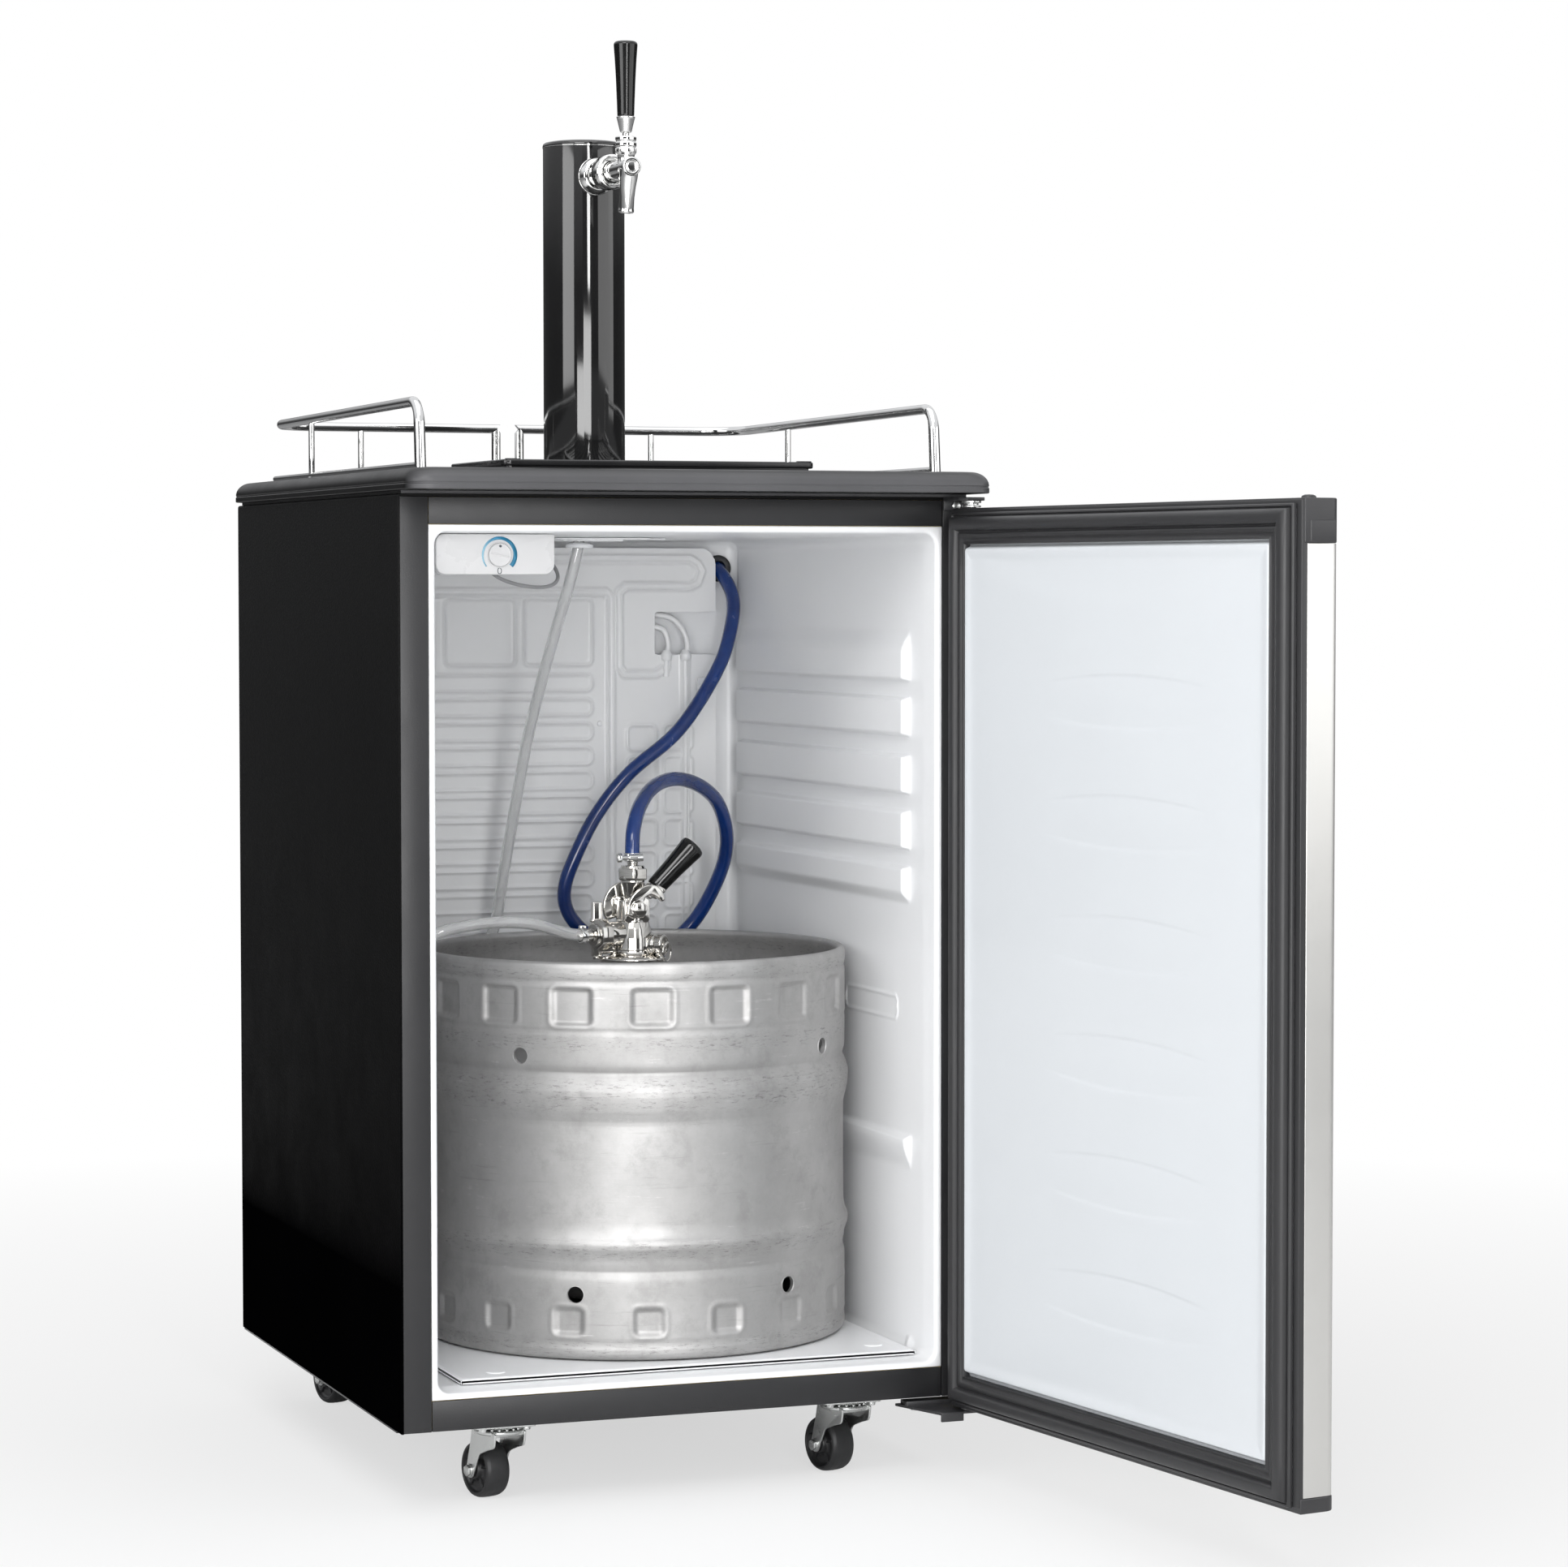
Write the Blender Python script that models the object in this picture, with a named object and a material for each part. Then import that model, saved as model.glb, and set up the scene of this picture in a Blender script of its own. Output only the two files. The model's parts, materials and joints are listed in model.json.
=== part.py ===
"""Kegerator: a refrigerated cabinet on casters with a draft tower, a keg and its coupler.

Lengths are millimetres in cabinet coordinates: x to the right from the cabinet's centre
plane, y to the rear from the plane of the front flange, z up from the cabinet's bottom
edge. at() turns them into metres in the world frame, whose origin is on the floor at the
middle of the object's bounding box, door open.
"""

import math

import bmesh
import bpy
from mathutils import Matrix, Vector

MM = 0.001

# ---------------------------------------------------------------- driving sizes
WIDTH = 530.0
HALF_WIDTH = WIDTH / 2
DEPTH = 586.0
HEIGHT = 809.0
FLOOR_GAP = 74.5  # floor to the cabinet's bottom edge
X_MID, Y_MID = 41.99, 23.245  # world origin in cabinet coordinates
SHEET = 2.0
STILE = 27.0

# Cold space; a hump in the floor at the rear clears the compressor.
INNER_X = 230.0
INNER_Y = 526.0
INNER_Z0, INNER_Z1 = 34.0, 775.5
HUMP_Y, HUMP_Z = 447.0, 246.0
LINER_T = 2.4
GAS_X, GAS_Z = 211, 748  # gas line hole through the rear wall

COVER_X = 269.0
COVER_Y0, COVER_Y1 = -51.0, 589.0
COVER_Z0, COVER_Z1 = 809.3, 831.0
FITTING_Z = COVER_Z1 + 0.4  # underside of everything standing on the worktop

TOWER_Y = 303.0
TOWER_R = 38.1
TOWER_TOP = 1139.0
TOWER_HOLE_R = 32
TAP_Y, TAP_Z = 178.0, 1110.0
LEVER_Z = 1130.0

HINGE_X, HINGE_Y = 254.3, -27.6
DOOR_OPEN = math.radians(98.7)
DOOR_X = 264.0
DOOR_Y0, DOOR_Y1 = -48.8, -14.0
DOOR_Z0, DOOR_Z1 = -4.7, 798.9
CAP_TOP_Z, CAP_BOTTOM_Z = 763.3, 7.6  # inner edges of the door caps

KEG_X, KEG_Y = 26.0, 241.0
KEG_Z0, KEG_Z1 = 40.6, 396.0
PIVOT_Z = 431.0  # coupler handle pivot
BARB_DIR = Vector((-0.97, -0.24, 0)).normalized()
RELIEF_DIR = Vector((0.72, -0.69, 0)).normalized()

for old in list(bpy.data.objects):
    bpy.data.objects.remove(old, do_unlink=True)


# ---------------------------------------------------------------- materials
def material(name, colour, roughness, metallic=0.0):
    made = bpy.data.materials.new(name)
    made.use_nodes = True
    shader = made.node_tree.nodes["Principled BSDF"]
    shader.inputs["Base Color"].default_value = (*colour, 1.0)
    shader.inputs["Roughness"].default_value = roughness
    shader.inputs["Metallic"].default_value = metallic
    made.diffuse_color = (*colour, 1.0)
    return made


BLACK_PAINT = material("black_paint", colour=(0.012, 0.012, 0.013), roughness=0.45)
GREY_PAINT = material("charcoal_trim", colour=(0.045, 0.045, 0.048), roughness=0.4)
WHITE_ABS = material("white_liner", colour=(0.82, 0.83, 0.84), roughness=0.3)
GREY_WHITE = material("roll_bond_plate", colour=(0.6, 0.61, 0.62), roughness=0.4)
FOAM = material("foam", colour=(0.75, 0.68, 0.45), roughness=0.9)
STEEL = material("zinc_steel", colour=(0.62, 0.62, 0.6), roughness=0.3, metallic=1.0)
CHROME = material("chrome", colour=(0.8, 0.8, 0.8), roughness=0.08, metallic=1.0)
SILVER = material("silver_skin", colour=(0.6, 0.6, 0.58), roughness=0.35, metallic=1.0)
KEG_STEEL = material("keg_steel", colour=(0.55, 0.55, 0.54), roughness=0.35, metallic=1.0)
BLACK_PLASTIC = material("black_plastic", colour=(0.02, 0.02, 0.02), roughness=0.4)
GLOSS_BLACK = material("gloss_black", colour=(0.008, 0.008, 0.008), roughness=0.1)
RUBBER = material("gasket_rubber", colour=(0.05, 0.05, 0.052), roughness=0.6)
BLUE_HOSE = material("blue_hose", colour=(0.01, 0.03, 0.22), roughness=0.3)
CLEAR_HOSE = material("clear_hose", colour=(0.7, 0.72, 0.72), roughness=0.2)


# ---------------------------------------------------------------- shape helpers
def at(x, y, z):
    return Vector(((x - X_MID) * MM, (y - Y_MID) * MM, (z + FLOOR_GAP) * MM))


def facing_out(shape):
    bmesh.ops.recalc_face_normals(shape, faces=shape.faces)
    return shape


def finish(name, shape, mat, smooth=True):
    """Turn a bmesh into a named object in the scene."""
    bmesh.ops.remove_doubles(shape, verts=shape.verts, dist=1e-6)
    facing_out(shape)
    if shape.calc_volume(signed=True) < 0:
        bmesh.ops.reverse_faces(shape, faces=shape.faces)
    mesh = bpy.data.meshes.new(name)
    shape.to_mesh(mesh)
    shape.free()
    obj = bpy.data.objects.new(name, mesh)
    bpy.context.scene.collection.objects.link(obj)
    mesh.materials.append(mat)
    if smooth:
        mesh.shade_smooth()
        mesh.set_sharp_from_angle(angle=math.radians(32))
    return obj


def round_edges(shape, radius, segments, keep):
    """Bevel the edges for which keep(end, other_end) is true."""
    edges = [e for e in shape.edges if keep(e.verts[0].co, e.verts[1].co)]
    bmesh.ops.bevel(shape, geom=edges, offset=radius * MM, segments=segments,
                    profile=0.5, affect="EDGES", clamp_overlap=True)
    return shape


def top_edges(z):
    """Edge test for round_edges: both ends at height z."""
    level = at(0, 0, z).z - 1e-5
    return lambda end, other: min(end.z, other.z) > level


def block(x0, x1, y0, y1, z0, z1):
    shape = bmesh.new()
    low, high = at(x0, y0, z0), at(x1, y1, z1)
    corners = [
        shape.verts.new((x, y, z))
        for z in (low.z, high.z) for y in (low.y, high.y) for x in (low.x, high.x)
    ]
    for face in ((0, 2, 3, 1), (4, 5, 7, 6), (0, 1, 5, 4),
                 (2, 6, 7, 3), (0, 4, 6, 2), (1, 3, 7, 5)):
        shape.faces.new([corners[i] for i in face])
    return facing_out(shape)


def prism(outline, axis, start, end):
    """A polygon pushed along an axis. Outline is (y, z), (x, z) or (x, y)."""
    place = {
        "x": lambda p, t: at(t, p[0], p[1]),
        "y": lambda p, t: at(p[0], t, p[1]),
        "z": lambda p, t: at(p[0], p[1], t),
    }[axis]
    shape = bmesh.new()
    first = [shape.verts.new(place(p, start)) for p in outline]
    last = [shape.verts.new(place(p, end)) for p in outline]
    for i in range(len(outline)):
        j = (i + 1) % len(outline)
        shape.faces.new((first[i], first[j], last[j], last[i]))
    shape.faces.new(first[::-1])
    shape.faces.new(last)
    return facing_out(shape)


def rounded(x0, x1, y0, y1, radius, segments=3):
    """Rounded rectangle. Four radii run x1y1, x0y1, x0y0, x1y0."""
    radii = radius if isinstance(radius, tuple) else (radius,) * 4
    corners = ((x1, y1, 1, 1, 0), (x0, y1, -1, 1, 90), (x0, y0, -1, -1, 180), (x1, y0, 1, -1, 270))
    points = []
    for (x, y, x_sign, y_sign, start), r in zip(corners, radii):
        for i in range(segments + 1):
            angle = math.radians(start + 90 * i / segments)
            points.append((x - x_sign * r + r * math.cos(angle),
                           y - y_sign * r + r * math.sin(angle)))
    return points


def unit_circle(steps):
    angles = [2 * math.pi * i / steps for i in range(steps)]
    return [(math.cos(angle), math.sin(angle)) for angle in angles]


def turned(profile, centre, axis=(0, 0, 1), steps=24, ring=False):
    """A turned solid. Profile is (radius, height); ring closes one that stays off the axis."""
    turn = Vector((0, 0, 1)).rotation_difference(Vector(axis).normalized()).to_matrix()
    middle = at(*centre)
    shape = bmesh.new()
    rows = []
    for r, height in profile:
        circle = [(0, 0)] if r <= 1e-6 else unit_circle(steps)
        rows.append([
            shape.verts.new(middle + turn @ Vector((r * MM * cos, r * MM * sin, height * MM)))
            for cos, sin in circle
        ])
    pairs = list(zip(rows, rows[1:]))
    if ring:
        pairs.append((rows[-1], rows[0]))
    for low, high in pairs:
        for i in range(steps):
            j = (i + 1) % steps
            corners = []
            for vert in (low[i % len(low)], low[j % len(low)],
                         high[j % len(high)], high[i % len(high)]):
                if vert not in corners:
                    corners.append(vert)
            if len(corners) > 2:
                shape.faces.new(corners)
    return facing_out(shape)


def rod(start, end, radius, steps=12, end_radius=None):
    start = Vector(start)
    along = Vector(end) - start
    if end_radius is None:
        end_radius = radius
    profile = [(0, 0), (radius, 0), (end_radius, along.length), (0, along.length)]
    return turned(profile, start, along, steps)


def rod_y(x, z, y0, y1, radius, steps):
    return rod((x, y0, z), (x, y1, z), radius, steps)


def rod_z(x, y, z0, z1, radius, steps):
    return rod((x, y, z0), (x, y, z1), radius, steps)


def smooth_path(points, per_span):
    """Catmull-Rom curve through the points."""
    pts = [Vector(p) for p in points]
    pts = [2 * pts[0] - pts[1]] + pts + [2 * pts[-1] - pts[-2]]
    path = []
    for i in range(1, len(pts) - 2):
        before, start, end, after = pts[i - 1 : i + 3]
        for k in range(per_span):
            t = k / per_span
            path.append(0.5 * (
                (2 * start) + (end - before) * t
                + (2 * before - 5 * start + 4 * end - after) * t * t
                + (3 * start - before - 3 * end + after) * t**3
            ))
    path.append(pts[-2])
    return path


def bent_path(points, radius, per_bend=3):
    """A polyline whose corners are arcs of the given radius."""
    pts = [Vector(p) for p in points]
    path = [pts[0]]
    for before, corner, after in zip(pts, pts[1:], pts[2:]):
        back, ahead = (before - corner).normalized(), (after - corner).normalized()
        half = math.acos(max(-1, min(1, back.dot(ahead)))) / 2
        trim = min(radius / math.tan(half),
                   (before - corner).length * 0.49, (after - corner).length * 0.49)
        arc_radius = trim * math.tan(half)
        middle = corner + (back + ahead).normalized() * (arc_radius / math.sin(half))
        start, end = corner + back * trim - middle, corner + ahead * trim - middle
        angle = start.angle(end)
        for k in range(per_bend + 1):
            t = k / per_bend
            blend = start * math.sin((1 - t) * angle) + end * math.sin(t * angle)
            path.append(middle + blend / math.sin(angle))
    path.append(pts[-1])
    return path


def swept(path, radius, steps=8):
    """A round bar along a path."""
    shape = bmesh.new()
    path = [at(*p) for p in path]
    tangents = [
        (path[min(i + 1, len(path) - 1)] - path[max(i - 1, 0)]).normalized()
        for i in range(len(path))
    ]
    side = tangents[0].orthogonal().normalized()
    rows = []
    for point, tangent in zip(path, tangents):
        side = (side - tangent * side.dot(tangent)).normalized()
        up = tangent.cross(side)
        rows.append([
            shape.verts.new(point + (side * cos + up * sin) * radius * MM)
            for cos, sin in unit_circle(steps)
        ])
    for row, following in zip(rows, rows[1:]):
        for i in range(steps):
            j = (i + 1) % steps
            shape.faces.new((row[i], row[j], following[j], following[i]))
    shape.faces.new(rows[0][::-1])
    shape.faces.new(rows[-1])
    return facing_out(shape)


def combine(obj, shapes, operation):
    """Apply one boolean per shape to obj, then remove the helpers."""
    helpers = []
    for i, shape in enumerate(shapes):
        name = f"helper_{obj.name}_{operation}_{i}"
        helper = finish(name, shape, BLACK_PLASTIC, smooth=False)
        helper.hide_render = True
        modifier = obj.modifiers.new(f"{operation.lower()}_{i}", "BOOLEAN")
        modifier.operation = operation
        modifier.solver = "EXACT"
        modifier.object = helper
        helpers.append(helper)
    bpy.context.view_layer.update()
    graph = bpy.context.evaluated_depsgraph_get()
    result = bpy.data.meshes.new_from_object(obj.evaluated_get(graph))
    obj.modifiers.clear()
    obj.data = result
    for helper in helpers:
        bpy.data.objects.remove(helper, do_unlink=True)


def add(obj, *shapes):
    combine(obj, shapes, "UNION")


def cut(obj, *shapes):
    combine(obj, shapes, "DIFFERENCE")


def origin_to(obj, point):
    """Move an object's origin to a world point and leave its shape where it is."""
    obj.data.transform(Matrix.Translation(-point))
    obj.location = point


# ---------------------------------------------------------------- cabinet
def cabinet_shell():
    side, top = HALF_WIDTH - SHEET, HEIGHT - SHEET
    outline = [
        (-HALF_WIDTH, 0), (-HALF_WIDTH, HEIGHT), (HALF_WIDTH, HEIGHT), (HALF_WIDTH, 0),
        (side, 0), (side, top), (-side, top), (-side, 0),
    ]
    shell = finish("cabinet_shell", prism(outline, "y", 0, DEPTH), BLACK_PAINT, smooth=False)
    add(
        shell,
        block(-HALF_WIDTH + 0.5, -HALF_WIDTH + STILE, 0, SHEET, 0, HEIGHT - 0.5),
        block(HALF_WIDTH - STILE, HALF_WIDTH - 0.5, 0, SHEET, 0, HEIGHT - 0.5),
    )
    cut(shell, rod_z(0, TOWER_Y, HEIGHT - 20, HEIGHT + 20, TOWER_HOLE_R, 24))


def front_rails():
    rail_x = HALF_WIDTH - STILE - 0.4
    top = block(-rail_x, rail_x, 0.5, 2.6, 783.2, HEIGHT - SHEET - 0.4)
    finish("front_top_rail", top, GREY_PAINT, smooth=False)
    angle_yz = [(0.5, 0.3), (0.5, 26.9), (2.5, 26.9), (2.5, 2.3), (20, 2.3), (20, 0.3)]
    bottom = prism(angle_yz, "x", -rail_x, rail_x)
    finish("front_bottom_rail", bottom, GREY_PAINT, smooth=False)


def liner_block(grow, y0):
    """The cold space grown on all sides, open end at y0 left sharp."""
    z0, z1, hump_z = INNER_Z0 - grow, INNER_Z1 + grow, HUMP_Z - grow
    rear, hump_y = INNER_Y + grow, HUMP_Y + grow
    outline = [(y0, z0), (y0, z1), (rear, z1), (rear, hump_z), (hump_y, hump_z), (hump_y, z0)]
    shape = prism(outline, "x", -INNER_X - grow, INNER_X + grow)
    limit = at(0, y0, 0).y + 1e-5
    return round_edges(shape, 10 + grow, 2, lambda end, other: max(end.y, other.y) > limit)


def wall_ribs(side):
    """Ribs standing off one side wall of the liner."""
    bands = ((441, 477), (491, 527), (542, 578), (593, 629), (643, 678))  # (z0, z1) of each
    points = []
    for z0, z1 in bands:
        points += [(side * 231.6, z0), (side * 222.5, z0 + 3),
                   (side * 222.5, z1 - 3), (side * 231.6, z1)]
    points += [(side * 232.2, bands[-1][1]), (side * 232.2, bands[0][0])]
    return prism(points, "y", 55, 508)


def inner_liner():
    liner = finish("inner_liner", liner_block(LINER_T, 0.3), WHITE_ABS)
    add(liner, block(-237.6, 237.6, 0.2, 2.4, 27.4, 782.8))  # front flange
    cut(liner, liner_block(0, -6))
    add(liner, wall_ribs(1), wall_ribs(-1))
    cut(
        liner,
        rod_z(0, TOWER_Y, INNER_Z1 - 6, INNER_Z1 + 6, 14, 16),
        rod_y(GAS_X, GAS_Z, INNER_Y - 4, INNER_Y + 8, 10, 12),
    )


def insulation_foam():
    outline_yz = [(3.2, 3), (3.2, 806.5), (568, 806.5), (568, 275), (474, 275), (474, 3)]
    foam_x = HALF_WIDTH - SHEET - 0.4
    foam = finish("insulation_foam", prism(outline_yz, "x", -foam_x, foam_x), FOAM, smooth=False)
    cut(foam, liner_block(LINER_T + 0.5, -6))
    cut(
        foam,
        rod_z(0, TOWER_Y, 770, 820, 30, 20),
        rod_y(GAS_X, GAS_Z, INNER_Y - 10, 580, 10, 12),
    )


def outer_panels():
    rear_x, base_x = HALF_WIDTH - 2.4, HALF_WIDTH - 1
    rear = block(-rear_x, rear_x, 568.4, 570.4, 270, 806.6)
    panel = finish("rear_panel", rear, STEEL, smooth=False)
    cut(panel, rod_y(GAS_X, GAS_Z, 560, 580, 9.5, 12))
    base = block(-base_x, base_x, 21, 585, -2.7, -0.3)
    finish("base_pan", base, BLACK_PAINT, smooth=False)


def worktop_cover():
    outline = rounded(-COVER_X, COVER_X, COVER_Y0, COVER_Y1, (12, 12, 24, 24), 4)
    shape = prism(outline, "z", COVER_Z0, COVER_Z1)
    round_edges(shape, 13, 3, top_edges(COVER_Z1))
    cover = finish("worktop_cover", shape, GREY_PAINT)
    cut(cover, rod_z(0, TOWER_Y, COVER_Z0 - 5, COVER_Z1 + 5, TOWER_HOLE_R, 24))


# ---------------------------------------------------------------- inside the cabinet
def evaporator_plate():
    outline_xz = [
        (-205, 262), (-205, 768), (190, 768), (203.5, 755), (203.5, 704.5),
        (139, 704.5), (139, 662), (203.5, 662), (203.5, 262),
    ]
    standoffs_xz = ((-190, 280), (190, 280), (-190, 740), (175, 740))
    plate_shape = prism(outline_xz, "y", 513, 515.5)
    plate = finish("evaporator_plate", plate_shape, GREY_WHITE, smooth=False)
    add(plate, *[rod_y(x, z, 515, INNER_Y - 0.4, 5, 8) for x, z in standoffs_xz])


def thermostat():
    knob_x, knob_z = -167.0, 757.0
    front = 25
    box = prism(rounded(-224.5, -117, 740, 775.2, (1, 8, 9, 9)), "y", front, 125)
    housing = finish("thermostat_housing", box, WHITE_ABS)
    cut(housing, rod_y(knob_x, knob_z, 20, 34, 3.6, 12))
    profile = [(0, 0), (3.0, 0), (3.0, 7.4), (9.6, 7.4), (9.6, 13), (8.6, 15.4), (0, 15.4)]
    knob = finish("thermostat_knob", turned(profile, (knob_x, 32, knob_z), (0, -1, 0)), WHITE_ABS)
    add(knob, block(knob_x - 1.6, knob_x + 1.6, 15.0, 20, knob_z - 8.2, knob_z + 8.2))
    origin_to(knob, at(knob_x, front, knob_z))


def keg_floor_plate():
    x0, x1, y0, y1 = -205, 222, 24, 438
    wall = 2.5
    plate = finish("keg_floor_plate", block(x0, x1, y0, y1, 35.2, 40.2), WHITE_ABS, smooth=False)
    cut(plate, block(x0 + wall, x1 - wall, y0 + wall, y1 - wall, 30, 38.4))


# ---------------------------------------------------------------- refrigeration at the back
def compressor():
    top = 150
    shape = prism(rounded(-105, 75, 482, 578, 44, 5), "z", 4.5, top)
    round_edges(shape, 30, 3, top_edges(top))
    body = finish("compressor", shape, BLACK_PAINT)
    # Foot plate and the box on its right side.
    add(body, block(-125, 95, 480, 580, 0.0, 6), block(60, 98, 505, 560, 40, 110))


def condenser_coil():
    passes, pitch = 11, 47.0
    coil_x, coil_y, first_z = 225, 578, 300
    points = [(-coil_x, coil_y, 200)]
    for i in range(passes):
        start_x = -coil_x if i % 2 == 0 else coil_x
        z = first_z + i * pitch
        points += [(start_x, coil_y, z), (-start_x, coil_y, z)]
    finish("condenser_coil", swept(bent_path(points, 20), 2.6, 6), BLACK_PAINT)


def power_cord():
    """A coiled cord from the compressor box to its plug."""
    points = [(98.6, 532, 60), (130, 532, 60)]
    per_turn = 11
    for i in range(26):
        angle = math.pi + 2 * math.pi * i / per_turn
        points.append((
            178 + 42 * math.cos(angle),
            533 + i * 1.25,
            110 + 62 * math.sin(angle) - 3 * i / per_turn,
        ))
    points.append((200, 568, 40))
    cord = finish("power_cord", swept(smooth_path(points, 2), 3.6, 6), BLACK_PLASTIC)
    add(cord, block(188, 212, 556, 578, 12, 44))


# ---------------------------------------------------------------- keg
def keg():
    # (radius, z): domed bottom, up the outside, domed top, down the inside
    shell = [
        (0, 72), (100, 77), (165, 92), (188, 112), (188, 46), (190.5, 41.6),
        (193.5, KEG_Z0), (196.4, 42.6), (197.5, 47), (197.5, 118), (196, 126), (196.6, 132),
        (201, 141), (201, 148), (196.6, 158), (196.6, 254), (201, 270), (201, 280),
        (197.4, 291), (196, 297), (197.5, 304), (197.5, 389), (196.4, 393.6),
        (193.5, KEG_Z1), (190.5, 394.8), (189, 389), (188, 298), (165, 322), (120, 346),
        (60, 364), (24.6, 369), (24.6, 365), (60, 360), (120, 342), (163, 318), (183, 296),
        (192, 284), (192, 130), (184, 114), (163, 96), (100, 81), (0, 76),
    ]
    shell = [(r, z - KEG_Z0) for r, z in shell]
    finish("keg_shell", turned(shell, (KEG_X, KEG_Y, KEG_Z0), steps=44), KEG_STEEL)
    neck = [
        (0, 352), (23.9, 352), (23.9, 369.8), (33, 369.8), (33, 375), (30, 378),
        (9, 378), (9, 360), (0, 360),
    ]
    finish("keg_neck", turned(neck, (KEG_X, KEG_Y, 0)), KEG_STEEL)


# ---------------------------------------------------------------- coupler
def off_axis(direction, length, z):
    """A point at a distance from the keg's axis."""
    return (KEG_X + direction.x * length, KEG_Y + direction.y * length, z)


def radial_rod(direction, start, end, z, radius, steps):
    return rod(off_axis(direction, start, z), off_axis(direction, end, z), radius, steps)


def coupler_body():
    profile = [
        (0, 378.4), (31, 378.4), (31, 385), (23, 389), (21, 402), (17, 410), (14, 418),
        (13.6, 438), (0, 438),
    ]
    body = finish("coupler_body", turned(profile, (KEG_X, KEG_Y, 0)), CHROME)
    add(
        body,
        # Side port with hexagonal nut and hose barb.
        radial_rod(BARB_DIR, 0, 44, 407, 8.5, 14),
        radial_rod(BARB_DIR, 28, 41, 407, 13, 6),
        radial_rod(BARB_DIR, 40, 60, 407, 3.4, 10),
        radial_rod(RELIEF_DIR, 0, 26.3, 395, 6.6, 12),
        # Upright post on the left and its arm.
        rod_z(KEG_X - 34, KEG_Y + 4, 386, 437, 4.8, 10),
        block(KEG_X - 34, KEG_X, KEG_Y - 1, KEG_Y + 9, 388, 402),
    )
    cut(
        body,
        rod_z(KEG_X, KEG_Y, 370, 445, 7.2, 16),
        rod_y(KEG_X, PIVOT_Z, KEG_Y - 20, KEG_Y - 9.5, 4.2, 12),
        rod_y(KEG_X, PIVOT_Z, KEG_Y + 9.5, KEG_Y + 20, 4.2, 12),
    )
    relief = finish("relief_valve", radial_rod(RELIEF_DIR, 26.8, 43, 395, 7.4, 14), CHROME)
    add(relief, radial_rod(RELIEF_DIR, 40, 46, 395, 3.2, 10))


def coupler_handle():
    pivot = at(KEG_X, KEG_Y, PIVOT_Z)
    # (x, z) from the pivot
    arm = [
        (-9, 4), (-5, 11), (3, 18), (13, 22), (23, 20.5), (29, 15), (31, 9), (25, 12),
        (17, 12.5), (10, 9), (5, 2), (3, -5), (-5, -6),
    ]
    bridge = [(17.5, 12.4), (15, 19), (22, 20), (28, 14)]
    arm, bridge = [[(KEG_X + x, PIVOT_Z + z) for x, z in part] for part in (arm, bridge)]
    handle = finish("coupler_handle", prism(arm, "y", KEG_Y - 18.6, KEG_Y - 14.3), CHROME)
    add(
        handle,
        prism(arm, "y", KEG_Y + 14.3, KEG_Y + 18.6),
        prism(bridge, "y", KEG_Y - 17, KEG_Y + 17),
        rod_y(KEG_X, PIVOT_Z, KEG_Y - 21, KEG_Y - 10, 3.6, 12),
        rod_y(KEG_X, PIVOT_Z, KEG_Y + 10, KEG_Y + 21, 3.6, 12),
    )
    origin_to(handle, pivot)

    profile = [
        (0, 1.9), (6.4, 1.9), (6.8, 8), (10.6, 50), (11.2, 56), (10, 59.5), (6, 61), (0, 61.4),
    ]
    start = (KEG_X + 22.5, KEG_Y, PIVOT_Z + 18.5)
    grip = finish("coupler_grip", turned(profile, start, (1, 0, 1), 20), BLACK_PLASTIC)
    origin_to(grip, pivot)


def coupler_probe():
    centre = (KEG_X, KEG_Y, 0)
    profile = [
        (0, 374), (6.2, 374), (6.2, 447.2), (8.2, 447.4), (11, 456), (4.6, 456.4),
        (4.6, 471.6), (4.2, 480), (0, 480),
    ]
    probe = finish("coupler_probe", turned(profile, centre, steps=20), CHROME)
    profile = [(5.7, 456.8), (14.0, 456.8), (14.0, 467.4), (11.4, 470.6), (5.7, 470.6)]
    nut_shape = turned(profile, centre, steps=6, ring=True)
    nut = finish("coupler_nut", nut_shape, CHROME, smooth=False)
    for moving in (probe, nut):
        origin_to(moving, at(KEG_X, KEG_Y, 450))


# ---------------------------------------------------------------- hoses
def hoses():
    # (x, y, z) from the rear wall to the top of the coupler
    gas_points = [
        (211, 556, 748), (211, 536, 748), (211, 518, 747), (216.5, 491, 718),
        (201, 470, 667), (145, 452, 588), (93, 446, 549), (39, 448, 470), (25.6, 452, 439),
        (48, 455, 398), (100, 456, 372), (150, 453, 388), (182, 432, 458), (166, 395, 515),
        (125, 352, 540), (85, 315, 545), (50, 278, 532), (31, 252, 508), (26, 241.5, 489),
    ]
    finish("gas_line", swept(smooth_path(gas_points, 4), 6.9), BLUE_HOSE)
    # (x, y, z) from the faucet shank down the tower to the coupler's barb
    beer_points = [
        (0, 292, 1089), (0, 296, 1068), (0, 303, 1020), (0, 303, 830), (-4, 304, 770),
        (-14, 335, 690), (-26.6, 390, 592), (-36, 430, 480), (-42, 454, 405),
        (-66, 457, 370), (-112, 444, 350), (-165, 395, 350), (-203, 320, 366),
        (-210, 255, 386), (-199, 215, 403), (-172, 203, 416), (-130, 207, 422),
        (-85, 214, 419), off_axis(BARB_DIR, 75, 410), off_axis(BARB_DIR, 61, 407.5),
    ]
    finish("beer_line", swept(smooth_path(beer_points, 4), 5.3), CLEAR_HOSE)
    profile = [(8.5, 0), (9.3, 0), (9.3, 11.2), (13.5, 11.2), (13.5, 15), (8.5, 15)]
    grommet = turned(profile, (GAS_X, 534.6, GAS_Z), (0, -1, 0), 16, ring=True)
    finish("hose_grommet", grommet, RUBBER)


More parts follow.
